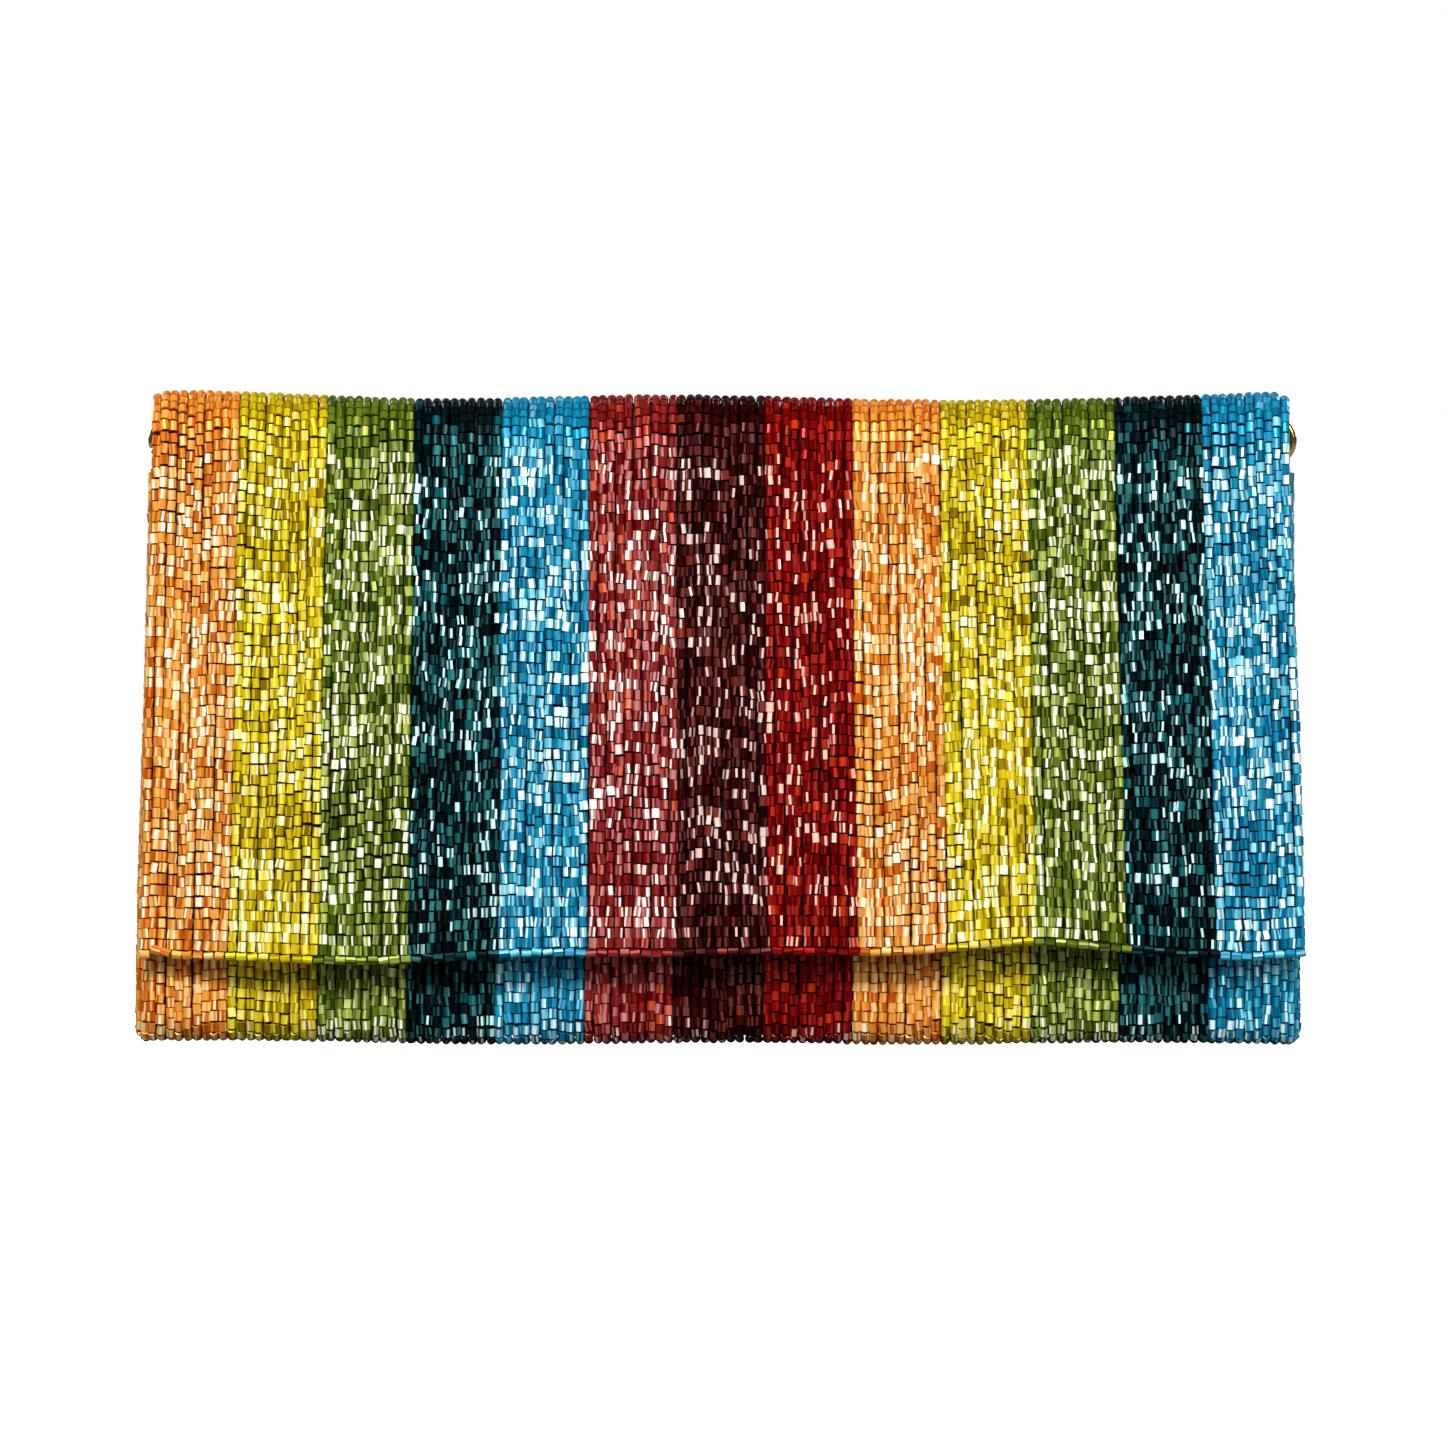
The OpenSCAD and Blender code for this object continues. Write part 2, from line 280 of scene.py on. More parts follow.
class Effects:
    """The shader node groups that several finishes share."""

    def __init__(self) -> None:
        """Build every group once."""
        self.lined_glass = self._lined_glass()
        self.weave = self._weave()
        self.handling = self._handling()

    @staticmethod
    def _lined_glass() -> bpy.types.NodeTree:
        """Colour of silver-lined glass, facet by facet, with painted light: painted shade on the darkest
        facets, a painted reflection of the silver lining, painted white glints, and a painted coloured glint
        on a few beads.

        Returns:
            A group that takes a facet's and a bead's own number and gives the colour seen through it.
        """
        group, sheet, given, wanted = new_group(
            "Silver-lined glass",
            {"Facet": ("Float", 0.5), "Bead": ("Float", 0.5), "Glint Share": ("Float", 0.06),
             "Deep": ("Color", (0, 0, 0)), "Body": ("Color", (0.5, 0.5, 0.5)),
             "Light": ("Color", (0.8, 0.8, 0.8)), "Glint": ("Color", (1, 1, 1)),
             "Stray": ("Color", (1, 1, 1))},
            {"Color": "Color"})
        facet = given["Facet"]
        # painted light: facets climb from the painted shade of Deep through Body to the painted lining
        # reflection of Light
        low = sheet.mix(sheet.step(facet, 0.08, 0.52), given["Deep"], given["Body"])
        mid = sheet.mix(sheet.step(facet, 0.54, 0.92), low, given["Light"])
        # painted coloured glint: the middle facets of a few beads lean towards the Stray colour
        stray_glint = sheet.math("MULTIPLY", sheet.step(given["Bead"], 0.84, 0.90), sheet.step(facet, 0.3, 0.6))
        stray_glinted = sheet.mix(sheet.math("MULTIPLY", stray_glint, 0.6), mid, given["Stray"])
        # painted white highlight: the brightest facets turn to the Glint colour
        start = sheet.math("SUBTRACT", 1.0, given["Glint Share"])
        past = sheet.math("SUBTRACT", facet, start)
        done = sheet.mix(sheet.step(past, 0.0, 0.025), stray_glinted, given["Glint"])
        sheet.feed(wanted["Color"], done)
        return group

    @staticmethod
    def _weave() -> bpy.types.NodeTree:
        """Over-and-under threads of a woven cloth.

        Returns:
            A group with the colour of the threads and their height.
        """
        group, sheet, given, wanted = new_group(
            "Woven threads",
            {"Colour": ("Color", (0.5, 0.5, 0.5)), "Gap Colour": ("Color", (0.1, 0.1, 0.1)),
             "Threads per metre": ("Float", 2500.0), "Unevenness": ("Float", 0.2)},
            {"Color": "Color", "Height": "Float"})
        place = sheet.add("TexCoord").outputs["Object"]
        spot = sheet.add("SeparateXYZ", Vector=place)
        turns = sheet.math("MULTIPLY", given["Threads per metre"], math.pi)
        across = sheet.math("SINE", sheet.math("MULTIPLY", spot.outputs["X"], turns))
        up = sheet.math("ADD", spot.outputs["Z"], spot.outputs["Y"])
        along = sheet.math("SINE", sheet.math("MULTIPLY", up, turns))
        crossing = sheet.math("MULTIPLY", across, along)
        height = sheet.math("MULTIPLY_ADD", crossing, 0.5)
        height.node.inputs[2].default_value = 0.5
        noise = sheet.add("TexNoise", Vector=place, Scale=900.0, Detail=3.0)
        uneven = sheet.math("MULTIPLY", noise.outputs["Fac"], given["Unevenness"])
        face = sheet.math("SUBTRACT", height, uneven)
        colour = sheet.mix(sheet.step(face, 0.0, 0.6), given["Gap Colour"], given["Colour"])
        sheet.feed(wanted["Color"], colour)
        sheet.feed(wanted["Height"], height)
        return group

    @staticmethod
    def _handling() -> bpy.types.NodeTree:
        """Faint smears and fine scratches of handled metal.

        Returns:
            A group with the roughness and the height they leave.
        """
        group, sheet, given, wanted = new_group(
            "Handled metal",
            {"Clean Roughness": ("Float", 0.12), "Smeared Roughness": ("Float", 0.3)},
            {"Roughness": "Float", "Height": "Float"})
        place = sheet.add("TexCoord").outputs["Object"]
        smear = sheet.add("TexNoise", Vector=place, Scale=260.0, Detail=4.0)
        mask = sheet.step(smear.outputs["Fac"], 0.42, 0.72)
        spread = sheet.math("SUBTRACT", given["Smeared Roughness"], given["Clean Roughness"])
        rough = sheet.math("MULTIPLY_ADD", mask, spread)
        sheet.feed(rough.node.inputs[2], given["Clean Roughness"])
        stretch = sheet.add("Mapping", Vector=place)
        stretch.inputs["Scale"].default_value = (9000.0, 600.0, 9000.0)
        lines = sheet.add("TexNoise", Vector=stretch.outputs["Vector"], Scale=1.0, Detail=2.0)
        sheet.feed(wanted["Roughness"], rough)
        sheet.feed(wanted["Height"], lines.outputs["Fac"])
        return group


@dataclass(frozen=True)
class BeadFinish:
    """Glass beads of one colour with a silver-lined hole.

    Attributes:
        name: The colour's name.
        deep: Colour of the darkest facets: the glass's own colour with painted shade.
        body: Colour of most facets.
        light: Painted reflection of the silver lining, where the lining shines through.
        glint: Painted white highlight on the brightest facets.
        stray_glint: Painted coloured glint that a few beads throw sideways.
        glints: Share of facets that get the painted white highlight.
    """

    name: str
    deep: Colour
    body: Colour
    light: Colour
    glint: Colour
    stray_glint: Colour
    glints: float

    def make(self, effects: Effects) -> bpy.types.Material:
        """Build the bead material.

        Args:
            effects: The shared node groups.

        Returns:
            The material.
        """
        material, sheet, shader = new_material("beads_" + self.name)
        facet = sheet.add("Attribute", {"attribute_name": "facet_light"})
        bead = sheet.add("Attribute", {"attribute_name": "bead_tone"})
        glass = sheet.add("Group", {"node_tree": effects.lined_glass},
                          Facet=facet.outputs["Fac"], Bead=bead.outputs["Fac"], Deep=self.deep,
                          Body=self.body, Light=self.light, Glint=self.glint, Stray=self.stray_glint,
                          Glint_Share=self.glints)
        sheet.fill(shader, Base_Color=glass.outputs["Color"], Metallic=0.3, Roughness=0.34,
                   Specular_IOR_Level=0.05, Coat_Weight=0.07, Coat_Roughness=0.10, Coat_IOR=1.45)
        return material


@dataclass(frozen=True)
class ClothFinish:
    """A woven cloth.

    Attributes:
        name: The finish's name.
        colour: Colour of the threads.
        gap: Colour between them.
        threads: Threads in one metre.
        bump: Depth of the weave in metres.
        roughness: How matt it is.
        sheen: How much soft sheen it has.
    """

    name: str
    colour: Colour
    gap: Colour
    threads: float
    bump: float
    roughness: float
    sheen: float

    def make(self, effects: Effects) -> bpy.types.Material:
        """Build the cloth material.

        Args:
            effects: The shared node groups.

        Returns:
            The material.
        """
        material, sheet, shader = new_material(self.name)
        weave = sheet.add("Group", {"node_tree": effects.weave}, Colour=self.colour, Gap_Colour=self.gap,
                          Threads_per_metre=self.threads)
        bump = sheet.add("Bump", Height=weave.outputs["Height"], Distance=self.bump)
        sheet.fill(shader, Base_Color=weave.outputs["Color"], Normal=bump.outputs["Normal"],
                   Roughness=self.roughness, Sheen_Weight=self.sheen)
        return material


@dataclass(frozen=True)
class FeltFinish:
    """A matted interlining with no weave.

    Attributes:
        name: The finish's name.
        colour: Colour of the fibres on top.
        shade: Colour of those beneath.
    """

    name: str
    colour: Colour
    shade: Colour

    def make(self, effects: Effects) -> bpy.types.Material:
        """Build the felt material.

        Args:
            effects: The shared node groups, which felt doesn't use.

        Returns:
            The material.
        """
        material, sheet, shader = new_material(self.name)
        place = sheet.add("TexCoord").outputs["Object"]
        fibres = sheet.add("TexNoise", Vector=place, Scale=1400.0, Detail=6.0, Roughness=0.7)
        colour = sheet.mix(sheet.step(fibres.outputs["Fac"], 0.35, 0.65), self.shade, self.colour)
        bump = sheet.add("Bump", Height=fibres.outputs["Fac"], Distance=0.2 * MM)
        sheet.fill(shader, Base_Color=colour, Normal=bump.outputs["Normal"], Roughness=0.95)
        return material


@dataclass(frozen=True)
class MetalFinish:
    """A plated or bare metal.

    Attributes:
        name: The finish's name.
        colour: Colour of the clean metal.
        tarnish: Colour where it has dulled.
        clean: Roughness of the clean metal.
        smeared: Roughness where it has been handled.
    """

    name: str
    colour: Colour
    tarnish: Colour
    clean: float
    smeared: float

    def make(self, effects: Effects) -> bpy.types.Material:
        """Build the metal material.

        Args:
            effects: The shared node groups.

        Returns:
            The material.
        """
        material, sheet, shader = new_material(self.name)
        handled = sheet.add("Group", {"node_tree": effects.handling}, Clean_Roughness=self.clean,
                            Smeared_Roughness=self.smeared)
        place = sheet.add("TexCoord").outputs["Object"]
        cloud = sheet.add("TexNoise", Vector=place, Scale=180.0, Detail=3.0)
        colour = sheet.mix(sheet.step(cloud.outputs["Fac"], 0.5, 0.8), self.colour, self.tarnish)
        bump = sheet.add("Bump", Height=handled.outputs["Height"], Distance=0.01 * MM)
        sheet.fill(shader, Base_Color=colour, Roughness=handled.outputs["Roughness"],
                   Normal=bump.outputs["Normal"], Metallic=1.0)
        return material


def new_material(name: str) -> tuple[bpy.types.Material, NodeSheet, bpy.types.Node]:
    """Start a material with an empty Principled shader.

    Args:
        name: The material's name.

    Returns:
        The material, a sheet to add nodes with, and the shader.
    """
    material = bpy.data.materials.new(name)
    material.use_nodes = True
    material.node_tree.nodes.clear()
    sheet = NodeSheet(material.node_tree)
    shader = sheet.add("BsdfPrincipled")
    output = sheet.add("OutputMaterial")
    sheet.feed(output.inputs["Surface"], shader.outputs["BSDF"])
    return material, sheet, shader


# Per bead colour: deep with painted shade, body, light as the painted lining reflection, glint as the painted
# white highlight, stray as a painted coloured glint, and the share of facets with the painted white highlight
BEAD_FINISHES = (
    BeadFinish("orange", rgb(178, 72, 2), rgb(222, 148, 52), rgb(246, 212, 144), rgb(255, 250, 224),
               rgb(240, 170, 80), 0.10),
    BeadFinish("yellow", rgb(124, 100, 0), rgb(204, 180, 12), rgb(243, 230, 78), rgb(255, 254, 218),
               rgb(250, 232, 130), 0.11),
    BeadFinish("green", rgb(38, 54, 0), rgb(94, 114, 26), rgb(188, 200, 118), rgb(252, 254, 230),
               rgb(196, 208, 80), 0.12),
    BeadFinish("teal", rgb(0, 3, 4), rgb(0, 20, 24), rgb(52, 122, 124), rgb(210, 248, 247),
               rgb(12, 106, 116), 0.08),
    BeadFinish("blue", rgb(0, 80, 114), rgb(20, 138, 174), rgb(138, 214, 232), rgb(236, 254, 255),
               rgb(150, 226, 240), 0.14),
    BeadFinish("rose", rgb(88, 0, 0), rgb(134, 34, 32), rgb(206, 134, 126), rgb(255, 246, 240),
               rgb(214, 88, 40), 0.10),
    BeadFinish("maroon", rgb(20, 0, 0), rgb(50, 2, 1), rgb(112, 56, 52), rgb(228, 198, 188),
               rgb(132, 48, 30), 0.09),
    BeadFinish("red", rgb(66, 0, 0), rgb(118, 0, 0), rgb(164, 38, 26), rgb(248, 200, 178),
               rgb(210, 58, 12), 0.08),
)
BASE_CLOTH = ClothFinish("base_cloth", rgb(58, 40, 30), rgb(18, 12, 9), 2600, 0.00010, 0.85, 0.1)
THREAD = ClothFinish("seam_thread", rgb(128, 92, 52), rgb(80, 52, 26), 5200, 0.00002, 0.55, 0.2)
LINING = ClothFinish("satin_lining", rgb(172, 132, 84), rgb(120, 86, 50), 5200, 0.00003, 0.36, 0.3)
RIBBON = ClothFinish("tab_ribbon", rgb(74, 48, 32), rgb(24, 14, 8), 1500, 0.00015, 0.6, 0.2)
INTERLINING = FeltFinish("interlining_felt", rgb(226, 222, 210), rgb(188, 182, 168))
GOLD = MetalFinish("gold_plate", rgb(226, 184, 104), rgb(190, 142, 70), 0.10, 0.26)
FERRITE = MetalFinish("ferrite_magnet", rgb(96, 96, 100), rgb(70, 68, 70), 0.45, 0.6)


class Paints:
    """Every material of the purse, made once and found by name."""

    def __init__(self) -> None:
        """Make all the materials."""
        effects = Effects()
        self.beads = {finish.name: finish.make(effects) for finish in BEAD_FINISHES}
        self.cloth = BASE_CLOTH.make(effects)
        self.lining = LINING.make(effects)
        self.thread = THREAD.make(effects)
        self.ribbon = RIBBON.make(effects)
        self.felt = INTERLINING.make(effects)
        self.gold = GOLD.make(effects)
        self.ferrite = FERRITE.make(effects)


# ---------------------------------------------------------------------------------------------------------
# The shape that every soft layer follows
# ---------------------------------------------------------------------------------------------------------


@dataclass(frozen=True)
class Line:
    """The purse's side view as one line at one depth, from the flap's edge to the mouth.

    Attributes:
        run: Distance along the line at each sample.
        place: Depth and height of each sample.
        face: Outward direction of each sample, as (depth, height).
        roll_start: Distance where the roll starts, at the top of the flap.
        roll_end: Distance where it ends, at the top of the back.
        base_start: Distance where the back wall ends.
        base_end: Distance where the front wall starts.
    """

    run: Array
    place: Array
    face: Array
    roll_start: float
    roll_end: float
    base_start: float
    base_end: float

    @property
    def length(self) -> float:
        """The whole line's length."""
        return float(self.run[-1])

    @property
    def top(self) -> float:
        """Distance to the top of the roll."""
        return (self.roll_start + self.roll_end) / 2

    def at(self, run: Array) -> tuple[Array, Array]:
        """Find points on the line.

        Args:
            run: Distances along it.

        Returns:
            Their (depth, height) and outward direction.
        """
        place = np.stack([np.interp(run, self.run, self.place[:, i]) for i in (0, 1)], -1)
        face = np.stack([np.interp(run, self.run, self.face[:, i]) for i in (0, 1)], -1)
        return place, unit(face)


@dataclass
class PurseShape:
    """Sizes of the purse, taken from the CAD, and the way from a flat cover to its place.

    Attributes:
        lean: How far the pouch sits to one side of the flap's free edge.
        front_base_r: Radius of the pouch's lower front edge.
        back_base_r: Radius of its lower back edge.
        side_r: Radius of its upright corners.
        rise: Height of the back above the mouth, up to where the roll starts.
        unroll: Height above the mouth over which the back's side edges flatten out.
        base_lean: How much further the base sits to that side.
        base_spread: Share by which the base is wider than the mouth.
        base_rise: How far the base's left end stands off the table.
        sag: How far the roll dips between its ends.
        perk: How far its ends stand up.
        corner_drop: How far its last few millimetres turn down at each end.
        edge_low: How much further down the flap's free edge hangs than its pattern.
        edge_off: How far the free edge stands off the pouch between its corners.
        edge_puff: How far the flap bulges forward near its free edge.
        edge_hold: How far its lower corners are held back against that.
        edge_bends: Bends of the free edge: where each one is, its reach, and how far it rises.
        ripple: Height of the free edge's small ripple.
        pillow: How far the cover swells and sinks in slow waves.
        foot_r: Radius of the pouch's foot at its narrow sides.
        hem: How far the soft layers end above the bottom of the flap's edge row.
        bead_hem: How far the bead columns end above it.
    """

    lean: float = -0.4 * MM
    front_base_r: float = 6 * MM
    back_base_r: float = 2.5 * MM
    side_r: float = 7 * MM
    rise: float = 6 * MM
    unroll: float = 14 * MM
    base_lean: float = -0.7 * MM
    base_spread: float = 0.017
    base_rise: float = 0.8 * MM
    sag: float = 0.6 * MM
    perk: float = 1.2 * MM
    corner_drop: float = 1.8 * MM
    edge_low: float = 1.3 * MM
    edge_off: float = 2.6 * MM
    edge_puff: float = 0.5 * MM
    edge_hold: float = 1.3 * MM
    edge_bends: tuple = ((-92 * MM, 34 * MM, -2.0 * MM), (74 * MM, 24 * MM, 2.3 * MM),
                         (127 * MM, 11 * MM, -1.2 * MM))
    ripple: float = 0.2 * MM
    pillow: float = 0.22 * MM
    foot_r: float = 3 * MM
    hem: float = 1.1 * MM
    bead_hem: float = 2 * MM
    pouch_w: float = field(init=False)
    flap_top_w: float = field(init=False)
    flap_edge_w: float = field(init=False)
    roll_r: float = field(init=False)
    roll_z: float = field(init=False)
    edge_z: float = field(init=False)
    mouth_z: float = field(init=False)
    front_y: float = field(init=False)

    def __post_init__(self) -> None:
        """Read the sizes off the CAD nodes."""
        low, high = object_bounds()
        first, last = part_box("pouch_stripe_01_orange"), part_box("pouch_stripe_13_blue")
        self.pouch_w = last[1].x - first[0].x
        self.flap_edge_w = high[0] - low[0]
        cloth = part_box("fold_cloth")
        self.flap_top_w = cloth[1].x - cloth[0].x
        self.roll_r = high[1]
        self.roll_z = high[2] - self.roll_r
        self.edge_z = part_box("flap_edge_beads")[0].z
        self.front_y = first[0].y
        self.mouth_z = self.roll_z - self.rise

    @property
    def mid_y(self) -> float:
        """The middle of the pouch from front to back."""
        return (self.front_y + self.roll_r) / 2

    def hinges(self) -> tuple[tuple, tuple, tuple]:
        """The roll's front, top and back: where it meets the flap, where its two halves meet, and where it
        meets the back.
        """
        front, back = (0, -self.roll_r, self.roll_z), (0, self.roll_r, self.roll_z)
        return front, (0, 0, self.roll_z + self.roll_r), back

    def line(self, depth: float, low: float) -> Line:
        """Draw the side view at a depth below the bead surface.

        Args:
            depth: Distance below the outer surface.
            low: Height of the flap's end.

        Returns:
            The line.
        """
        back = self.roll_r - depth
        front = self.front_y + depth
        least_back, least_front = 0.6 * MM, 1.2 * MM
        corner_b = max(self.back_base_r - depth, least_back)
        corner_f = max(self.front_base_r - depth, least_front)
        parts = [
            self._straight((-back, low), (-back, self.roll_z), (-1, 0)),
            self._arc((0, self.roll_z), back, 180, 0),
            self._straight((back, self.roll_z), (back, depth + corner_b), (1, 0)),
            self._arc((back - corner_b, depth + corner_b), corner_b, 0, -90),
            self._straight((back - corner_b, depth), (front + corner_f, depth), (0, -1)),
            self._arc((front + corner_f, depth + corner_f), corner_f, -90, -180),
            self._straight((front, depth + corner_f), (front, self.mouth_z), (-1, 0)),
        ]
        place = np.concatenate([p for p, _ in parts])
        face = np.concatenate([f for _, f in parts])
        steps = np.linalg.norm(np.diff(place, axis=0), axis=1)
        run = np.concatenate([[0], np.cumsum(steps)])
        ends = np.cumsum([len(p) for p, _ in parts]) - 1
        return Line(run, place, face, run[ends[0]], run[ends[1]], run[ends[2]], run[ends[5]])

    @staticmethod
    def _straight(start: Sequence[float], end: Sequence[float], face: Sequence[float]) -> tuple[Array, Array]:
        """Sample a straight stretch.

        Args:
            start: Its first point, as (depth, height).
            end: Its last point.
            face: Its outward direction.

        Returns:
            Points and outward directions.
        """
        share = np.linspace(0, 1, 60)[:, None]
        place = np.array(start) * (1 - share) + np.array(end) * share
        return place, np.repeat([np.array(face, float)], len(share), 0)

    @staticmethod
    def _arc(centre: Sequence[float], radius: float, start: float, end: float) -> tuple[Array, Array]:
        """Sample an arc.

        Args:
            centre: Its centre, as (depth, height).
            radius: Its radius.
            start: The angle that it starts at, in degrees.
            end: The angle that it ends at.

        Returns:
            Points and outward directions.
        """
        turn = np.radians(np.linspace(start, end, 40))
        face = np.stack([np.cos(turn), np.sin(turn)], -1)
        return np.array(centre) + radius * face, face

    def width(self, line: Line, run: Array, depth: float) -> Array:
        """Width of the cover along the line.

        Args:
            line: The side view.
            run: Distances along it.
            depth: Depth of the layer, which narrows the pouch.

        Returns:
            The widths.
        """
        down = 1 - np.clip(run / line.roll_start, 0, 1)
        flap = self.flap_top_w + (self.flap_edge_w - self.flap_top_w) * down
        closed = 1 - self.opened(line, run)
        return np.where(run < line.top, flap, flap + (self.pouch_w - self.flap_top_w - 2 * depth) * closed)

    def opened(self, line: Line, run: Array) -> Array:
        """Find how far the cover has flattened out above the mouth.

        Args:
            line: The side view.
            run: Distances along it.

        Returns:
            Shares from 0 in the pouch to 1 in the roll.
        """
        mouth_run = line.roll_end + (self.roll_z - self.mouth_z)
        above = (mouth_run - run) / self.unroll
        return np.where(run > line.base_start, 0.0, smooth(above))

    def settle(self, x: Array, line: Line, run: Array) -> tuple[Array, Array]:
        """Soft give of the cloth.

        Args:
            x: Sideways places.
            line: The side view.
            run: Distances along it.

        Returns:
            How far each point moves along its outward direction, and how far it moves up.
        """
        top_reach, edge_reach, flare_reach = 26 * MM, 34 * MM, 15 * MM
        tip_start, corner_start = 0.965, 0.8
        off_middle = np.abs(x) / (self.flap_top_w / 2)
        on_flap = run < line.roll_start
        at_top = fade(run - line.top, top_reach)
        dips = np.cos(2 * np.pi * x / (118 * MM)) + 0.1 - 0.55 * wave(x, 300 * MM)
        tip = np.clip((off_middle - tip_start) / (1 - tip_start), 0, 1) ** 2
        lift = (self.sag * dips + self.perk * off_middle ** 6 - self.corner_drop * tip) * at_top
        at_edge = fade(run, edge_reach) * on_flap
        bends = sum(rise * fade(x - middle, reach) for middle, reach, rise in self.edge_bends)
        lift = lift + (bends + self.ripple * wave(x, 61 * MM) - self.edge_low) * at_edge
        corner = smooth((off_middle - corner_start) / (1 - corner_start))
        flare = self.edge_off * (1 - corner) * fade(run, flare_reach) * on_flap
        out = at_edge * (self.edge_puff - self.edge_hold * corner) + flare
        pillow = wave(x, 97 * MM, 5 * run) * wave(run, 83 * MM, 0.6)
        return out + self.pillow * pillow, lift

    def put(self, share: Array, run: Array, line: Line, depth: float) -> tuple[Array, Array, Array]:
        """Place points of the flat cover on the purse.

        Args:
            share: Place across the cover, from -0.5 at the left to 0.5 at the right.
            run: Distance along the line.
            line: The side view at this depth.
            depth: Depth of the layer.

        Returns:
            Positions, outward directions and directions along the line, each (n, 3).
        """
        x = share * self.width(line, run, depth)
        place, face = line.at(run)
        y, z, face_y, face_z = place[:, 0], place[:, 1], face[:, 0], face[:, 1]
        closed = np.maximum((1 - self.opened(line, run)) * (run > line.top), 1e-3)
        corner_r = self.side_r - depth
        straight = self.pouch_w / 2 - self.side_r
        over = np.maximum(np.abs(x) - straight, 0)
        side = np.sign(x)
        bend = np.minimum(over / corner_r * closed, math.pi / 2)
        curl = corner_r / closed
        x_bent = np.where(over > 0, side * (straight + curl * np.sin(bend)), x)
        half_depth = (self.roll_r - self.front_y) / 2 - depth
        pulled = 1 - curl * (1 - np.cos(bend)) / half_depth
        wall = run > line.roll_end
        y = np.where(wall, self.mid_y + (y - self.mid_y) * pulled, y)
        # in the roll only the side edges' own inward pull is left
        rolled = (run > line.top) & ~wall
        y = np.where(rolled, y - curl * (1 - np.cos(bend)) * np.abs(face_y), y)
        nx = side * np.sin(bend) * np.abs(face_y)
        out, lift = self.settle(x, line, run)
        where = np.stack([x_bent, y, z], -1)
        normal = unit(np.stack([nx, face_y * np.cos(bend), face_z], -1))
        along = np.stack([np.zeros_like(x), face_z, -face_y], -1)
        slope = (self.flap_edge_w - self.flap_top_w) / line.roll_start
        along[:, 0] = np.where(run < line.roll_start, -share * slope, 0)
        where = where + normal * out[:, None]
        where[:, 2] += lift
        where[:, 0] += self.lean * smooth(run / line.roll_start) * (run < line.roll_end)
        on_pouch = run >= line.roll_end
        where[on_pouch] = self.slump(where[on_pouch])
        return where, normal, along

    def slump(self, where: Array) -> Array:
        """Let the pouch lean to one side and spread towards its base.

        Args:
            where: Places on an upright pouch.

        Returns:
            The same places on the leaning one.
        """
        clear, rise_start = 0.45 * MM, 0.45
        down = np.clip(1 - where[:, 2] / self.mouth_z, 0, 1)
        x = where[:, 0]
        moved = where.copy()
        moved[:, 0] = x + self.lean + (self.base_lean + x * self.base_spread) * smooth(down)
        to_left = -x / (self.pouch_w / 2)
        raised = self.base_rise * smooth((to_left - rise_start) / (1 - rise_start))
        moved[:, 2] += (clear + raised) * down
        return moved

    def side_put(self, girth: Array, drop: Array, side: int,
                 depth: float) -> tuple[Array, Array, Array]:
        """Place points on the pouch's narrow sides.

        Args:
            girth: Distance round the side from its front corner's start, at the bead line.
            drop: Distance down from the mouth.
            side: 1 on the right, -1 on the left.
            depth: Depth of the layer.

        Returns:
            Positions, outward directions and downward directions, each (n, 3).
        """
        corner_r = self.side_r - depth
        quarter = corner_r * math.pi / 2
        flat = self.roll_r - self.front_y - 2 * self.side_r
        first = np.clip(girth / corner_r, 0, math.pi / 2)
        second = np.clip((girth - quarter - flat) / corner_r, 0, math.pi / 2)
        turn = first + second
        level = np.clip(girth - quarter, 0, flat)
        straight = self.pouch_w / 2 - self.side_r
        x = straight + corner_r * np.sin(turn)
        y = self.front_y + self.side_r + level - corner_r * np.cos(turn)
        foot_r = self.foot_r - min(depth, 2.4 * MM)
        wall = self.mouth_z - depth - foot_r
        foot = np.clip((drop - wall) / foot_r, 0, math.pi / 2)
        normal_x, normal_y = np.sin(turn), -np.cos(turn)
        inward = foot_r * (1 - np.cos(foot))
        z = np.where(drop < wall, self.mouth_z - drop, depth + foot_r * (1 - np.sin(foot)))
        where = np.stack([side * (x - inward * normal_x), y - inward * normal_y, z], -1)
        normal = np.stack([side * normal_x * np.cos(foot), normal_y * np.cos(foot), -np.sin(foot)], -1)
        along = np.stack([-side * normal_x * np.sin(foot), -normal_y * np.sin(foot), -np.cos(foot)], -1)
        return self.slump(where), normal, along


# ---------------------------------------------------------------------------------------------------------
# Mesh helpers
# ---------------------------------------------------------------------------------------------------------


def new_piece(name: str, points: Array, faces: Sequence, paint: bpy.types.Material,
              rounded: bool = True) -> bpy.types.Object:
    """Make a mesh object and link it to the scene.

    Args:
        name: The piece's name.
        points: Vertex positions.
        faces: Vertex indices of each face.
        paint: Its material.
        rounded: Whether its faces shade smoothly.

    Returns:
        The object.
    """
    mesh = bpy.data.meshes.new(name)
    mesh.from_pydata(np.asarray(points, float).tolist(), [], [list(map(int, f)) for f in faces])
    mesh.materials.append(paint)
    mesh.polygons.foreach_set("use_smooth", [rounded] * len(mesh.polygons))
    mesh.update()
    piece = bpy.data.objects.new(name, mesh)
    bpy.context.scene.collection.objects.link(piece)
    LOG.info("piece %s: %d points, %d faces", name, len(points), len(faces))
    return piece


def welded(piece: bpy.types.Object, distance: float = 1e-6) -> bpy.types.Object:
    """Join points that lie on each other and drop faces with no area.

    Args:
        piece: The piece.
        distance: How close the points have to be.

    Returns:
        The same piece.
    """
    work = bmesh.new()
    work.from_mesh(piece.data)
    bmesh.ops.remove_doubles(work, verts=work.verts, dist=distance)
    bmesh.ops.dissolve_degenerate(work, edges=work.edges, dist=distance)
    bmesh.ops.recalc_face_normals(work, faces=work.faces)
    work.to_mesh(piece.data)
    work.free()
    return piece


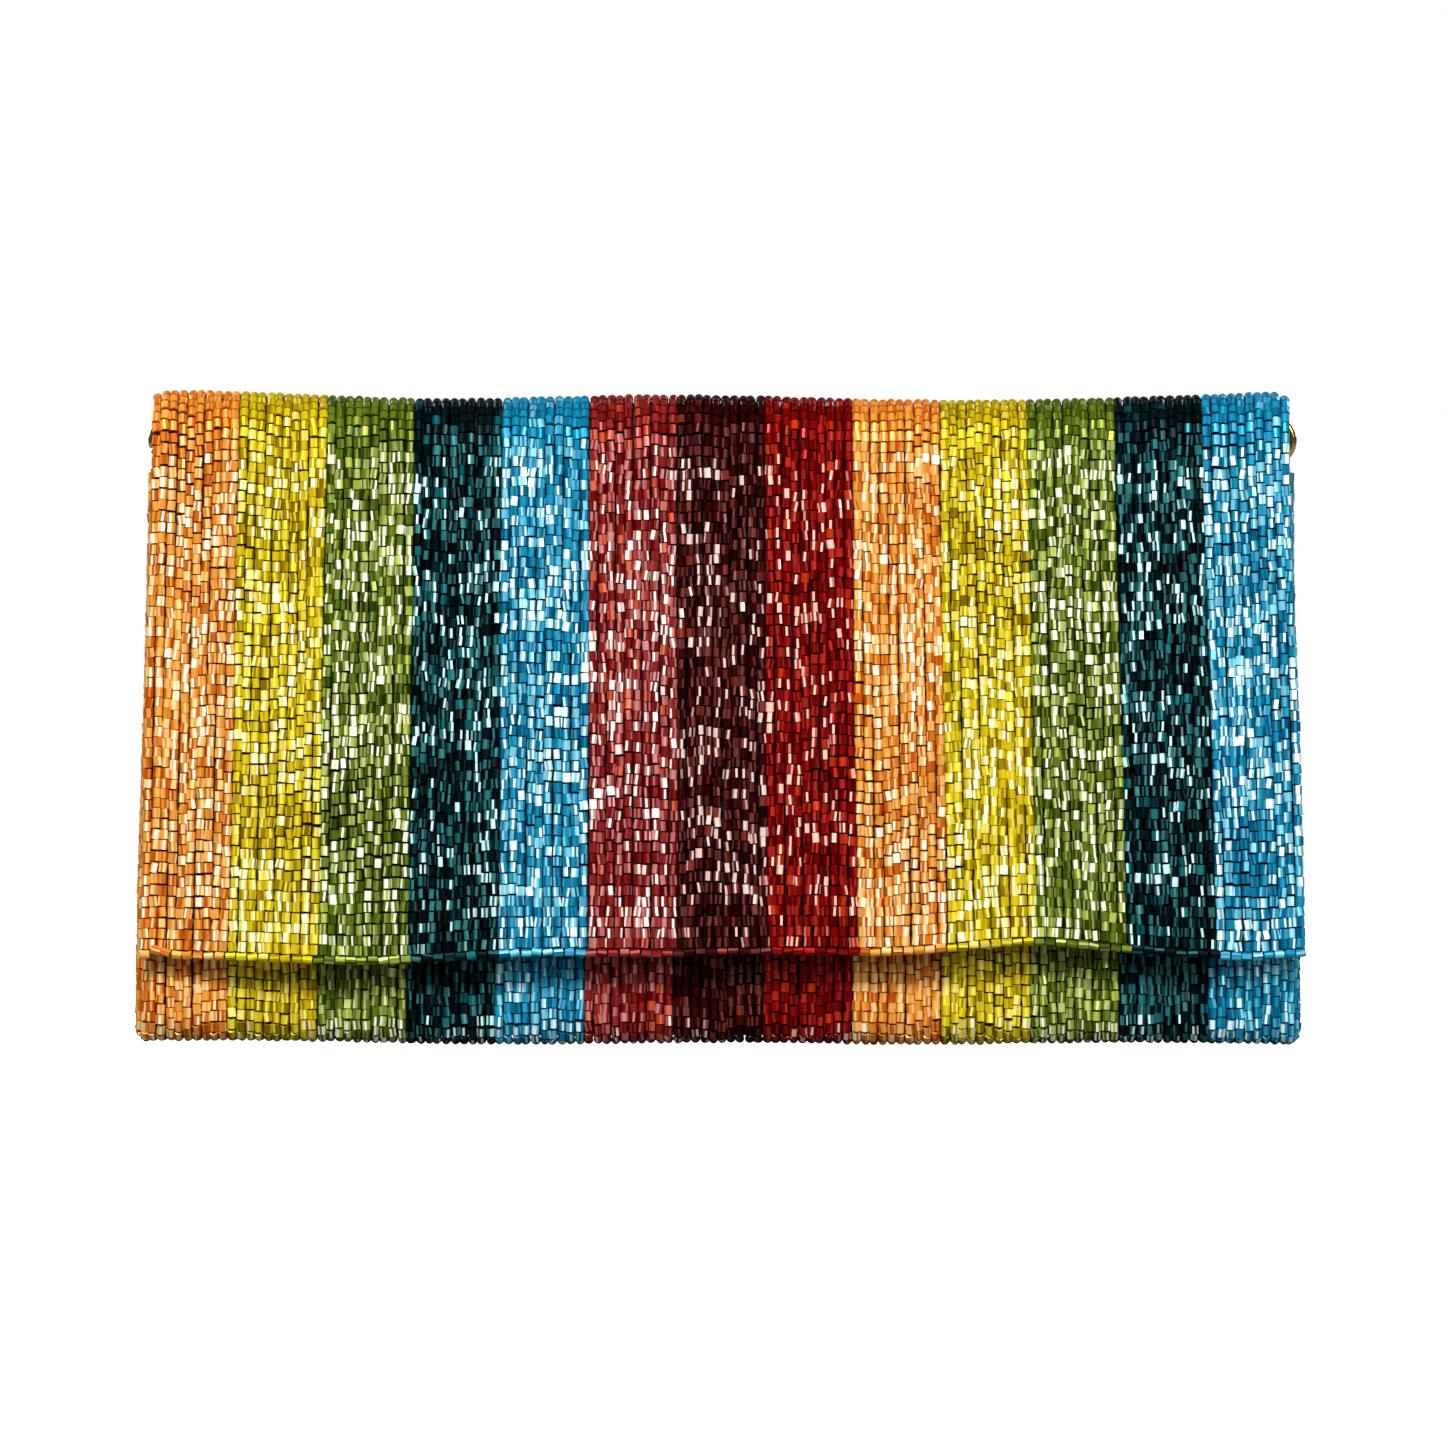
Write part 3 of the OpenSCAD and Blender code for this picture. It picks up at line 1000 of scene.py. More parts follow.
def thick_grid(points: Array, normals: Array, thickness: float, ring: bool = False) -> tuple[Array, list]:
    """Give a grid of points a second face and a rim.

    Args:
        points: Outer points, (rows, columns, 3).
        normals: Outward directions, the same shape.
        thickness: Distance to the inner face.
        ring: Whether the last column joins the first.

    Returns:
        All the points, and the faces.
    """
    rows, columns = points.shape[:2]
    count = rows * columns
    every = np.concatenate([points.reshape(-1, 3), (points - normals * thickness).reshape(-1, 3)])
    index = np.arange(count).reshape(rows, columns)
    if ring:
        index = np.concatenate([index, index[:, :1]], 1)
    quads = np.stack([index[:-1, :-1], index[:-1, 1:], index[1:, 1:], index[1:, :-1]], -1).reshape(-1, 4)
    first = every[quads[0]]
    facing = np.cross(first[1] - first[0], first[3] - first[0]) @ normals[0, 0]
    if facing < 0:
        quads = quads[:, ::-1]
    faces = quads.tolist() + (quads[:, ::-1] + count).tolist()
    rims = [index[0], index[-1][::-1]]
    if not ring:
        rims += [index[:, -1], index[:, 0][::-1]]
    for rim in rims:
        for a, b in zip(rim[:-1], rim[1:]):
            corner = [b, a, a + count, b + count] if facing > 0 else [a, b, b + count, a + count]
            faces.append(corner)
    return every, faces


def lathe(profile: Sequence[tuple[float, float]], steps: int) -> tuple[Array, list]:
    """Turn a profile of (radius, depth) points about the front-to-back axis.

    Args:
        profile: The points, from one end to the other.
        steps: Number of points round.

    Returns:
        Points and faces.
    """
    turn = np.linspace(0, 2 * math.pi, steps, endpoint=False)
    points = [(r * math.cos(t), y, r * math.sin(t)) for r, y in profile for t in turn]
    faces = []
    for row in range(len(profile) - 1):
        for k in range(steps):
            after = (k + 1) % steps
            here, above = row * steps, (row + 1) * steps
            faces.append((here + k, here + after, above + after, above + k))
    return np.array(points), faces


def tubes(centre: Array, axis: Array, front: Array, across: Array, radius: Array, length: Array,
          turn: Array, rings: Array) -> tuple[Array, Array]:
    """Make many short open tubes at once.

    Args:
        centre: Middle of each tube, (n, 3).
        axis: Direction of each tube.
        front: Direction that turn is measured from.
        across: Direction square to both.
        radius: Radius of each tube.
        length: Length of each tube.
        turn: Angles of each tube's edges, (n, edges).
        rings: Place along the tube and share of the radius, for each ring of points.

    Returns:
        Points and faces; a tube's faces run ring by ring for each gap between edges in turn.
    """
    spoke = front[:, None] * np.cos(turn)[..., None] + across[:, None] * np.sin(turn)[..., None]
    up = axis[:, None] * length[:, None, None]
    points = (centre[:, None, None] + up[:, None] * rings[None, :, None, :1]
              + spoke[:, None] * (radius[:, None, None, None] * rings[None, :, None, 1:]))
    sides = turn.shape[1]
    corner = np.arange(len(rings) * sides).reshape(len(rings), sides)
    after = np.roll(corner, -1, 1)
    quads = np.stack([corner[:-1], corner[1:], after[1:], after[:-1]], -1).reshape(-1, 4)
    faces = quads[None] + (np.arange(len(centre)) * len(rings) * sides)[:, None, None]
    return points.reshape(-1, 3), faces.reshape(-1, 4)


# ---------------------------------------------------------------------------------------------------------
# Beads
# ---------------------------------------------------------------------------------------------------------


@dataclass
class BeadLot:
    """A number of beads waiting to be made into pieces.

    Attributes:
        centre: Middle of each bead.
        axis: Direction of its hole.
        normal: Outward direction.
        stripe: Number of its stripe, from 0.
        zone: Which zone it lies in, as an index into ZONES.
        painted_dim: From 0 to 1, how far its facets trade their painted glints for an even, darker painted
            shade.
        glint_patch: How bright the painted light on the cover is about there, from -1 to 1.
    """

    centre: Array
    axis: Array
    normal: Array
    stripe: Array
    zone: Array
    painted_dim: Array
    glint_patch: Array

    def pick(self, wanted: Array) -> "BeadLot":
        """The beads where wanted is true."""
        return BeadLot(self.centre[wanted], self.axis[wanted], self.normal[wanted], self.stripe[wanted],
                       self.zone[wanted], self.painted_dim[wanted], self.glint_patch[wanted])


ZONES = list(Zone)


@dataclass(frozen=True)
class GlintPatches:
    """Slow variation of the painted light over the cover, brighter here and duller there."""

    grid: Array

    def at(self, share: Array, run: Array) -> Array:
        """Read the variation.

        Args:
            share: Places across the cover, from -0.5 to 0.5.
            run: Places along it, from 0 to 1.

        Returns:
            Values from about -1 to 1.
        """
        rows, columns = self.grid.shape
        u = np.clip((share + 0.5) * (columns - 1), 0, columns - 1.001)
        v = np.clip(run * (rows - 1), 0, rows - 1.001)
        left, low = u.astype(int), v.astype(int)
        du, dv = smooth(u - left), smooth(v - low)
        near = self.grid[low, left] * (1 - du) + self.grid[low, left + 1] * du
        far = self.grid[low + 1, left] * (1 - du) + self.grid[low + 1, left + 1] * du
        return near * (1 - dv) + far * dv


@dataclass
class BeadCover:
    """The striped bead cover: columns of short cut glass tubes sewn end to end.

    Attributes:
        shape: The purse's shape.
        paints: Its materials.
        stripes: Colour name of each stripe.
        columns: Bead columns in one stripe.
        radius: Radius of a bead over its corners.
        length: Length of a bead.
        pitch: Distance between beads in a column.
        cuts: Angles of a bead's edges from its outward side, in degrees: finer facets face outward.
        depth: Depth of the bead's axis below the surface.
        gap: Wanted distance between columns on the narrow sides.
        slip: How far a whole column slips along, as a share of the pitch.
        slack: How far one bead slips in its column.
        wander: How far a column strays sideways.
        tilt: How far a bead tilts, as a slope.
        level: Distance from the cover's ends over which the rows' drift grows from nothing.
        drifts: Slow waves in the rows, each with its height as a share of the pitch, its turn over one stripe
            and its reach down a column.
    """

    shape: PurseShape
    paints: Paints
    stripes: Sequence[str]
    columns: int = 10
    radius: float = 1.07 * MM
    length: float = 2.43 * MM
    pitch: float = 2.45 * MM
    cuts: Sequence[float] = (-90, -60, -30, 0, 30, 60, 90, 180)
    depth: float = 1.06 * MM
    gap: float = 2.15 * MM
    slip: float = 0.16
    slack: float = 0.07 * MM
    wander: float = 0.16 * MM
    tilt: float = 0.07
    level: float = 26 * MM
    drifts: tuple = ((0.30, 2.1, 19 * MM), (0.22, 5.3, -31 * MM))
    rng: np.random.Generator = field(default_factory=lambda: np.random.default_rng(SEED))
    glint_patches: GlintPatches = field(init=False)

    def __post_init__(self) -> None:
        """Draw the slow variation of the painted light: patches about three columns wide and two rows high.
        """
        self.glint_patches = GlintPatches(self.rng.uniform(-1, 1, (100, 40)))

    @property
    def margin(self) -> float:
        """Distance from a column's end to the middle of its last bead."""
        return 0.55 * self.pitch

    def line(self) -> Line:
        """The side view at the depth of the beads' holes."""
        return self.shape.line(self.depth, self.shape.edge_z + self.shape.bead_hem)

    def column_lot(self, number: int, line: Line) -> BeadLot:
        """Thread one column from the flap's edge to the mouth.

        Args:
            number: The column, from 0 at the left.
            line: The side view at the beads' depth.

        Returns:
            Its beads.
        """
        rng = self.rng
        start, end = self.margin, line.length - self.margin
        count = round((end - start) / self.pitch)
        run = np.linspace(start, end, count)
        inside = smooth(np.minimum(run - start, end - run) / self.level)
        place = number / self.columns
        drift = sum(size * np.sin(turn * place + run / reach) for size, turn, reach in self.drifts)
        run = run + inside * self.pitch * (drift + rng.normal(0, self.slip))
        run[1:-1] += rng.normal(0, self.slack, count - 2)
        total = self.columns * len(self.stripes)
        wander = self.wander * np.sin(run / (17 * MM) + rng.uniform(0, 6.28))
        share = np.full(count, (number + 0.5) / total - 0.5) + wander / self.shape.pouch_w
        centre, normal, along = self.shape.put(share, run, line, self.depth)
        zone = np.select([run < line.roll_start, run < line.top, run < line.roll_end], [0, 1, 2], 3)
        # painted light: beads round the top of the roll, which face away from the lights, trade their painted
        # glints for an even, darker painted shade; those on the pouch's front, below the flap, take a fifth
        # of it
        dim_reach, dim_front = 15 * MM, 0.2
        near_top = np.exp(-((run - line.top) / dim_reach) ** 4)
        painted_dim = np.maximum(near_top, (run > line.base_end) * dim_front)
        stripe = np.full(count, number // self.columns)
        glint_patch = self.glint_patches.at(share, run / line.length)
        return BeadLot(centre, along, normal, stripe, zone, painted_dim, glint_patch)

    def side_lot(self, girth: float, side: int) -> BeadLot:
        """Thread one column down a narrow side of the pouch.

        Args:
            girth: Its place round the side.
            side: 1 on the right, -1 on the left.

        Returns:
            Its beads.
        """
        # the narrow sides get an even, darker painted shade with fewer painted glints
        slack, dim_level = 0.08 * MM, 0.3
        drop = np.arange(self.margin, self.shape.mouth_z, self.pitch * self.rng.uniform(0.99, 1.01))
        drop[1:] += self.rng.normal(0, slack, len(drop) - 1)
        centre, normal, along = self.shape.side_put(np.full(len(drop), girth), drop, side, self.depth)
        stripe = np.full(len(drop), len(self.stripes) - 1 if side > 0 else 0)
        even = np.zeros(len(drop))
        return BeadLot(centre, along, normal, stripe, even + ZONES.index(Zone.POUCH), even + dim_level, even)

    def thread(self) -> BeadLot:
        """Thread every column of the cover.

        Returns:
            All the beads.
        """
        line = self.line()
        total = self.columns * len(self.stripes)
        lots = [self.column_lot(number, line) for number in range(total)]
        straight = self.shape.pouch_w / 2 - self.shape.side_r
        reach = (self.shape.pouch_w - 2 * self.depth) * (0.5 - 0.5 / total) - straight
        corner_r = self.shape.side_r - self.depth
        flat = self.shape.roll_r - self.shape.front_y - 2 * self.shape.side_r
        bare = math.pi * corner_r + flat - 2 * reach
        columns = round(bare / self.gap) - 1
        for side in (-1, 1):
            for k in range(columns):
                lots.append(self.side_lot(reach + bare * (k + 1) / (columns + 1), side))
        parts = [np.concatenate([getattr(lot, name) for lot in lots])
                 for name in ("centre", "axis", "normal", "stripe", "zone", "painted_dim", "glint_patch")]
        return self.clear_of_snap(BeadLot(*parts))

    def clear_of_snap(self, lot: BeadLot) -> BeadLot:
        """Leave the snap's round field on the pouch's front without beads.

        Args:
            lot: All the beads.

        Returns:
            The beads that stay.
        """
        low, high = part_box("snap_socket")
        room = 0.3 * MM
        reach = (high.x - low.x) / 2 + self.radius + room
        away = np.hypot(lot.centre[:, 0] - (low.x + high.x) / 2, lot.centre[:, 2] - (low.z + high.z) / 2)
        on_front = (lot.zone == ZONES.index(Zone.POUCH)) & (lot.centre[:, 1] < 0)
        return lot.pick(~(on_front & (away < reach)))

    def mesh(self, name: str, lot: BeadLot, paint: bpy.types.Material) -> bpy.types.Object:
        """Cut the glass: a tube with flat facets and sloped ends for each bead.

        Args:
            name: The piece's name.
            lot: Its beads.
            paint: Its material.

        Returns:
            The piece.
        """
        rng = self.rng
        count = len(lot.centre)
        axis = unit(lot.axis)
        across = unit(np.cross(axis, lot.normal))
        lean, tip = rng.normal(0, self.tilt, (2, count, 1))
        axis = unit(axis + across * lean + lot.normal * tip)
        across = unit(np.cross(axis, lot.normal))
        front = np.cross(across, axis)
        aside, sunk, uneven = 0.06 * MM, 0.02 * MM, 0.05 * MM
        thicker, longer = 0.02, 0.03
        centre = lot.centre + across * rng.normal(0, aside, (count, 1))
        centre = centre + lot.normal * rng.normal(-sunk, uneven, (count, 1))
        radius = self.radius * (1 + rng.normal(0, thicker, count))
        length = self.length * (1 + rng.normal(0, longer, count))
        hole, shoulder, twist = 0.58, 0.465, 0.26
        rings = np.array([[0.5, hole], [shoulder, 1.0], [-shoulder, 1.0], [-0.5, hole]])
        turn = rng.uniform(-twist, twist, (count, 1)) + np.radians(self.cuts)
        points, faces = tubes(centre, axis, front, across, radius, length, turn, rings)
        piece = new_piece(name, points, faces, paint, rounded=False)
        middle = turn + np.radians(np.diff(self.cuts, append=self.cuts[0] + 360)) / 2
        facet, tone = self.light(lot, np.cos(middle))
        for label, values in (("facet_light", facet), ("bead_tone", tone)):
            layer = piece.data.attributes.new(label, "FLOAT", "FACE")
            layer.data.foreach_set("value", values.astype(np.float32).ravel())
        return piece

    def light(self, lot: BeadLot, facing: Array) -> tuple[Array, Array]:
        """Draw the painted light on each facet and each bead's own tone.

        The facets that face out get the painted reflection of the silver lining and the painted glints, those
        beside them the glass's own colour with painted shade.

        Args:
            lot: The beads.
            facing: How far each bead's facets face outward, from -1 to 1.

        Returns:
            One facet value and one tone value for every face.
        """
        rng = self.rng
        bead = rng.uniform(0, 1, (len(facing), 1))
        own = rng.uniform(0, 1, facing.shape)
        by_bead, by_facing, by_patch = 0.30, 0.45, 0.22
        hidden, dim_middle, dim_spread = 0.25, 0.31, 0.30
        end_light, end_share = 0.12, 0.3
        # painted light: facets that face out, beads with a high tone and bright patches rank higher and get
        # more painted glints
        weighed = own + by_bead * bead + by_facing * facing + by_patch * lot.glint_patch[:, None]
        outer = facing > 0
        # the facets turned in against the cloth get a fixed, darker painted shade
        mixed = np.full(facing.shape, hidden)
        order = np.argsort(np.argsort(weighed[outer]))
        mixed[outer] = (order + 0.5) / len(order)
        # where the painted glints are held back, facets move to an even, darker painted shade
        painted_dim = lot.painted_dim[:, None]
        dim_level = dim_middle + dim_spread * (mixed - 0.5)
        mixed = mixed * (1 - painted_dim) + dim_level * painted_dim
        # the sloped ends get a darker painted shade than the side facets
        ends = np.repeat((end_light + end_share * mixed)[:, None], 3, 1)
        ends[:, 1] = mixed
        tone = np.broadcast_to(bead[:, :, None], ends.shape)
        return ends, tone

    def build(self) -> None:
        """Make one piece for each stripe in each zone; the flap's and pouch's pieces go on their bodies, the
        roll's stay where they are.
        """
        lot = self.thread()
        shape = self.shape
        front, top, back = shape.hinges()
        for number, colour in enumerate(self.stripes):
            for index, zone in enumerate(ZONES):
                mine = lot.pick((lot.stripe == number) & (lot.zone == index))
                label = f"{number + 1:02d}_{colour}"
                piece = self.mesh(f"beads_{zone.value}_{label}", mine, self.paints.beads[colour])
                if zone is Zone.FLAP:
                    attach(piece, Body.FLAP.value)
                    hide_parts(f"flap_stripe_{label}")
                elif zone is Zone.POUCH:
                    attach(piece, Body.POUCH.value)
                    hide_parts(f"pouch_stripe_{label}")
                else:
                    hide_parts(f"fold_stripe_{label}")
                    if zone is Zone.ROLL_BACK:
                        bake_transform(piece)
                    else:
                        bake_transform(piece)
            LOG.info("stripe %s: %d beads", label, int((lot.stripe == number).sum()))


@dataclass
class BeadEdging:
    """Rows of beads laid end to end along the flap's free edge and the pouch's mouth.

    Attributes:
        cover: The bead cover that they finish.
        step: Distance between beads in a row.
        below_edge: How far the flap's row lies below the cover's end.
        above_mouth: How far the mouth's row lies above the cover's other end.
    """

    cover: BeadCover
    step: float = 2.60 * MM
    below_edge: float = 1.0 * MM
    above_mouth: float = 0.9 * MM

    def places(self, width: float) -> Array:
        """Spread the beads of a row evenly over a width.

        Args:
            width: The row's length.

        Returns:
            Place of each bead across the cover.
        """
        count = int(width / self.step)
        return (np.arange(count) + 0.5) / count - 0.5

    def row(self, name: str, share: Array, run: Array, line: Line, body: Body,
            drop: float) -> bpy.types.Object:
        """Lay one row of beads.

        Args:
            name: The piece's name.
            share: Place of each bead across the cover.
            run: Distance along the line.
            line: The side view at the beads' depth.
            body: The body that it rides on.
            drop: How far below the cover's end the row lies.

        Returns:
            The piece, in its stripes' colours.
        """
        shape, cover = self.cover.shape, self.cover
        centre, normal, along = shape.put(share, run, line, cover.depth)
        axis = np.gradient(centre, axis=0)
        centre = centre - unit(along) * drop
        if body is Body.FLAP:
            # the second and third beads from the left have worked loose and sit askew
            tilts = np.array([[0.0, 0.0, -0.9], [0.0, 0.0, -0.6]]) * MM
            shifts = np.array([[0.2, -1.2, 1.0], [0.0, -1.2, 0.5]]) * MM
            axis[1:3] += tilts
            centre[1:3] += shifts
        stripe = np.clip(((share + 0.5) * len(cover.stripes)).astype(int), 0, len(cover.stripes) - 1)
        # the edge rows get an even, darker painted shade with fewer painted glints
        count, dim_level = len(share), 0.35
        lot = BeadLot(centre, axis, normal, stripe, np.zeros(count), np.full(count, dim_level), np.zeros(count))
        piece = cover.mesh(name, lot, cover.paints.beads[cover.stripes[0]])
        piece.data.materials.clear()
        colours = sorted(set(cover.stripes))
        for colour in colours:
            piece.data.materials.append(cover.paints.beads[colour])
        slots = np.array([colours.index(cover.stripes[s]) for s in stripe])
        per_bead = len(piece.data.polygons) // count
        piece.data.polygons.foreach_set("material_index", np.repeat(slots, per_bead))
        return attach(piece, body.value)

    def build(self) -> None:
        """Make both rows."""
        cover, shape = self.cover, self.cover.shape
        line = cover.line()
        share = self.places(shape.flap_edge_w)
        edge = self.row("flap_edge_beads", share, np.zeros(len(share)), line, Body.FLAP, self.below_edge)
        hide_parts("flap_edge_beads")
        share = self.places(shape.pouch_w)
        mouth = self.row("pouch_mouth_beads", share, np.full(len(share), line.length), line, Body.POUCH,
                         -self.above_mouth)
        LOG.info("edge rows laid")


# ---------------------------------------------------------------------------------------------------------
# Cloth, interlining and lining
# ---------------------------------------------------------------------------------------------------------


@dataclass(frozen=True)
class Layer:
    """One soft layer under the beads.

    Attributes:
        name: Its name in piece names.
        depth: Depth of its outer face.
        thickness: Its thickness.
        slot: The record's material slot.
        nodes: The CAD nodes of its pouch, fold and flap parts, or None where it has none.
        wide: Its share of the flap's width.
        short: How far it stops short of the flap's end.
        turned: How far it turns up over the flap's edges.
        tucked: How far it moves outward inside the roll, where there is no interlining.
        closes: How far its side edges move outward in and under the roll, to meet the cloth.
    """

    name: str
    depth: float
    thickness: float
    slot: str
    nodes: tuple[str, str | None, str]
    wide: float = 0.996
    short: float = 0.0
    turned: float = 0.0
    tucked: float = 0.0
    closes: float = 0.0


@dataclass
class SoftLayers:
    """The base cloth, interlining and lining, each as sheets that follow the purse's shape.

    Attributes:
        shape: The purse's shape.
        paints: Its materials.
        across: Grid columns over the width.
        stitch: Length of one stitch with its gap.
        tuck_in: Distance over which a layer moves outward as it enters the roll.
        lip: Length of a hemmed end, of which nine tenths turn outward.
    """

    shape: PurseShape
    paints: Paints
    across: int = 120
    stitch: float = 3.0 * MM
    tuck_in: float = 5 * MM
    lip: float = 2 * MM

    def strip(self, layer: Layer, span: tuple[float, float], line: Line, rows: int,
              width: float = 1.0, turned: float = 0.0, hemmed: bool = False) -> tuple[Array, list]:
        """Shape a strip of a layer across the whole width.

        Args:
            layer: The layer.
            span: Where it starts and ends along the line.
            line: The side view at the layer's depth.
            rows: Grid rows.
            width: Share of the cover's width.
            turned: How far its sides turn outward over the edges of the layers in front of it.
            hemmed: Whether its lower end turns outward too.

        Returns:
            Its points and faces.
        """
        fine_start, middle, turn_start, turn_reach = 0.486, 0.48, 0.488, 0.009
        edge = np.linspace(-0.5, -fine_start, 6)
        share = np.concatenate([edge, np.linspace(-middle, middle, self.across), -edge[::-1]]) * width
        run = np.linspace(*span, rows)
        if hemmed:
            run = np.concatenate([np.linspace(span[0], span[0] + self.lip, 6), run[1:]])
        columns = len(share)
        flat_share, flat_run = np.tile(share, len(run)), np.repeat(run, columns)
        where, normal, _ = self.shape.put(flat_share, flat_run, line, layer.depth)
        past_side = smooth((np.abs(flat_share) / width - turn_start) / turn_reach)
        past_end = smooth(1 - (flat_run - span[0]) / (0.9 * self.lip)) * hemmed
        past_start, before_end = flat_run - line.roll_start, line.roll_end - flat_run
        in_roll = smooth(past_start / self.tuck_in) * smooth(before_end / self.tuck_in)
        outward = np.maximum(turned * np.maximum(past_side, past_end), layer.tucked * in_roll)
        where = where + normal * outward[:, None]
        grid = (len(run), columns, 3)
        return thick_grid(where.reshape(grid), normal.reshape(grid), layer.thickness)

    def bag(self, layer: Layer) -> tuple[Array, list]:
        """Shape the pouch's part of a layer: a bag with a rounded foot, open at the mouth.

        Args:
            layer: The layer.

        Returns:
            Its points and faces.
        """
        shape, depth = self.shape, layer.depth
        straight = shape.pouch_w / 2 - shape.side_r
        x, y, nx, ny = self.outline(depth, True)
        foot = (shape.front_base_r * np.maximum(-ny, 0) ** 2 + shape.back_base_r * np.maximum(ny, 0) ** 2
                + shape.foot_r * nx ** 2)
        least_r, wall_end = 0.8 * MM, 8 * MM
        foot = np.maximum(foot - depth, least_r)
        rows, normals = [], []
        for z in np.linspace(shape.mouth_z, wall_end, 24):
            rows.append(np.stack([x, y, np.full(len(x), z)], -1))
            normals.append(np.stack([nx, ny, 0 * nx], -1))
        for turn in np.radians(np.linspace(0, 90, 7)):
            inset = foot * (1 - math.cos(turn))
            z = depth + foot * (1 - math.sin(turn))
            rows.append(np.stack([x - nx * inset, y - ny * inset, z], -1))
            normals.append(np.stack([nx * math.cos(turn), ny * math.cos(turn), -math.sin(turn) + 0 * nx], -1))
        last = rows[-1]
        middle = np.stack([np.clip(last[:, 0], -straight, straight), np.full(len(x), shape.mid_y),
                           last[:, 2]], -1)
        rows.append(middle)
        normals.append(normals[-1])
        points, faces = thick_grid(np.array(rows), np.array(normals), layer.thickness, ring=True)
        return shape.slump(points), faces

    def outline(self, depth: float, closed: bool) -> Array:
        """Draw the pouch from above, from its back right corner round the front to its back left one.

        Args:
            depth: Depth of the layer.
            closed: Whether to go on along the back.

        Returns:
            Four rows: place across and from front to back, and the outward direction in the same order.
        """
        shape = self.shape
        corner_r = shape.side_r - depth
        straight = shape.pouch_w / 2 - shape.side_r
        front, back = shape.front_y + shape.side_r, shape.roll_r - shape.side_r
        loop = []
        for x, y, start in ((straight, back, 90), (straight, front, 0), (-straight, front, -90),
                            (-straight, back, -180)):
            if (x, y) == (-straight, front):
                loop += [(u, y - corner_r, 0, -1) for u in np.linspace(straight, -straight, 60)[1:-1]]
            for turn in np.radians(np.linspace(start, start - 90, 9)):
                face_x, face_y = math.cos(turn), math.sin(turn)
                loop.append((x + corner_r * face_x, y + corner_r * face_y, face_x, face_y))
        if closed:
            loop += [(u, back + corner_r, 0, 1) for u in np.linspace(-straight, straight, 60)[1:-1]]
        return np.array(loop, float).T

    def build_layer(self, layer: Layer, paint: bpy.types.Material) -> None:
        """Make a layer's pouch, roll and flap parts.

        Args:
            layer: The layer.
            paint: Its material.
        """
        shape = self.shape
        line = shape.line(layer.depth, shape.edge_z + shape.hem)
        mouth_run = line.roll_end + shape.roll_z - shape.mouth_z
        pouch_node, fold_node, flap_node = layer.nodes
        bag_points, bag_faces = self.bag(layer)
        rise_points, rise_faces = self.strip(layer, (line.roll_end, mouth_run), line, 6, layer.wide,
                                             layer.closes)
        shifted = [[len(bag_points) + corner for corner in one] for one in rise_faces]
        pouch = new_piece(f"pouch_{layer.name}_sheet", np.concatenate([bag_points, rise_points]),
                          bag_faces + shifted, paint)
        welded(pouch, 1e-5)
        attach(pouch, Body.POUCH.value)
        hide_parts(pouch_node)
        front, top, back = shape.hinges()
        if fold_node:
            points, faces = self.strip(layer, (line.top, line.roll_end), line, 16, turned=layer.closes)
            upper = new_piece(f"roll_back_{layer.name}", points, faces, paint)
            points, faces = self.strip(layer, (line.roll_start, line.top), line, 16, turned=layer.closes)
            lower = new_piece(f"roll_front_{layer.name}", points, faces, paint)
            for piece in (upper, lower):
                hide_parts(fold_node)
            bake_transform(upper)
            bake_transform(lower)
        points, faces = self.strip(layer, (layer.short, line.roll_start), line, 40, layer.wide, layer.turned,
                                   hemmed=layer.turned > 0)
        flap = new_piece(f"flap_{layer.name}_sheet", points, faces, paint)
        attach(flap, Body.FLAP.value)
        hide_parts(flap_node)
        LOG.info("layer %s made", layer.name)

    def facing(self) -> None:
        """Turn a narrow hem of lining over the mouth's raw edges, round its front and sides."""
        shape = self.shape
        x, y, nx, ny = self.outline(0.0, False)
        rim = shape.mouth_z
        front, back = 2.05, 4.05
        section = [(front, -0.4), (front, 0.1), (2.35, 0.45), (3.0, 0.55), (3.7, 0.45), (back, 0.1),
                   (back, -1.0), (back, -3.0), (back, -6.5)]
        rows = [np.stack([x - nx * d * MM, y - ny * d * MM, np.full(len(x), rim + u * MM)], -1)
                for d, u in section]
        grid = np.array(rows)
        along = unit(np.gradient(np.array(section), axis=0))
        normals = np.stack([np.stack([nx * dz, ny * dz, np.full(len(x), dd)], -1) for dd, dz in along])
        thickness, past_crest = 0.35 * MM, 4
        points, faces = thick_grid(grid, normals, thickness)
        hem = new_piece("mouth_hem", shape.slump(points), faces, self.paints.lining)
        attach(hem, Body.POUCH.value)

    def stitches(self, layer: Layer) -> None:
        """Sew the lining to the flap with a row of stitches near its three free edges.

        Args:
            layer: The lining.
        """
        line = self.shape.line(layer.depth, self.shape.edge_z + self.shape.hem)
        inset, side = 5 * MM, 0.480
        up = np.arange(inset, line.roll_start - 2 * MM, self.stitch)
        over = np.linspace(-side, side, int(2 * side * self.shape.flap_edge_w / self.stitch))[1:-1]
        share = np.concatenate([np.full(len(up), -side), over, np.full(len(up), side)])
        run = np.concatenate([up, np.full(len(over), inset), up])
        where, normal, along = self.shape.put(share, run, line, layer.depth)
        along = unit(along)
        level = np.zeros(len(share), bool)
        level[len(up):len(up) + len(over)] = True
        axis = np.where(level[:, None], np.cross(along, normal), along)
        count = len(share)
        turn = np.tile(np.linspace(0, 2 * math.pi, 7)[:-1], (count, 1))
        rings = np.array([[-0.5, 0.1], [-0.42, 0.75], [-0.25, 1.0], [0.25, 1.0], [0.42, 0.75], [0.5, 0.1]])
        thread_r, proud = 0.2 * MM, 0.05 * MM
        centre = where - normal * (layer.thickness + proud)
        points, faces = tubes(centre, axis, normal, np.cross(axis, normal), np.full(count, thread_r),
                              np.full(count, 0.8 * self.stitch), turn, rings)
        seam = new_piece("flap_seam_stitches", points, faces, self.paints.thread)
        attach(seam, Body.FLAP.value)

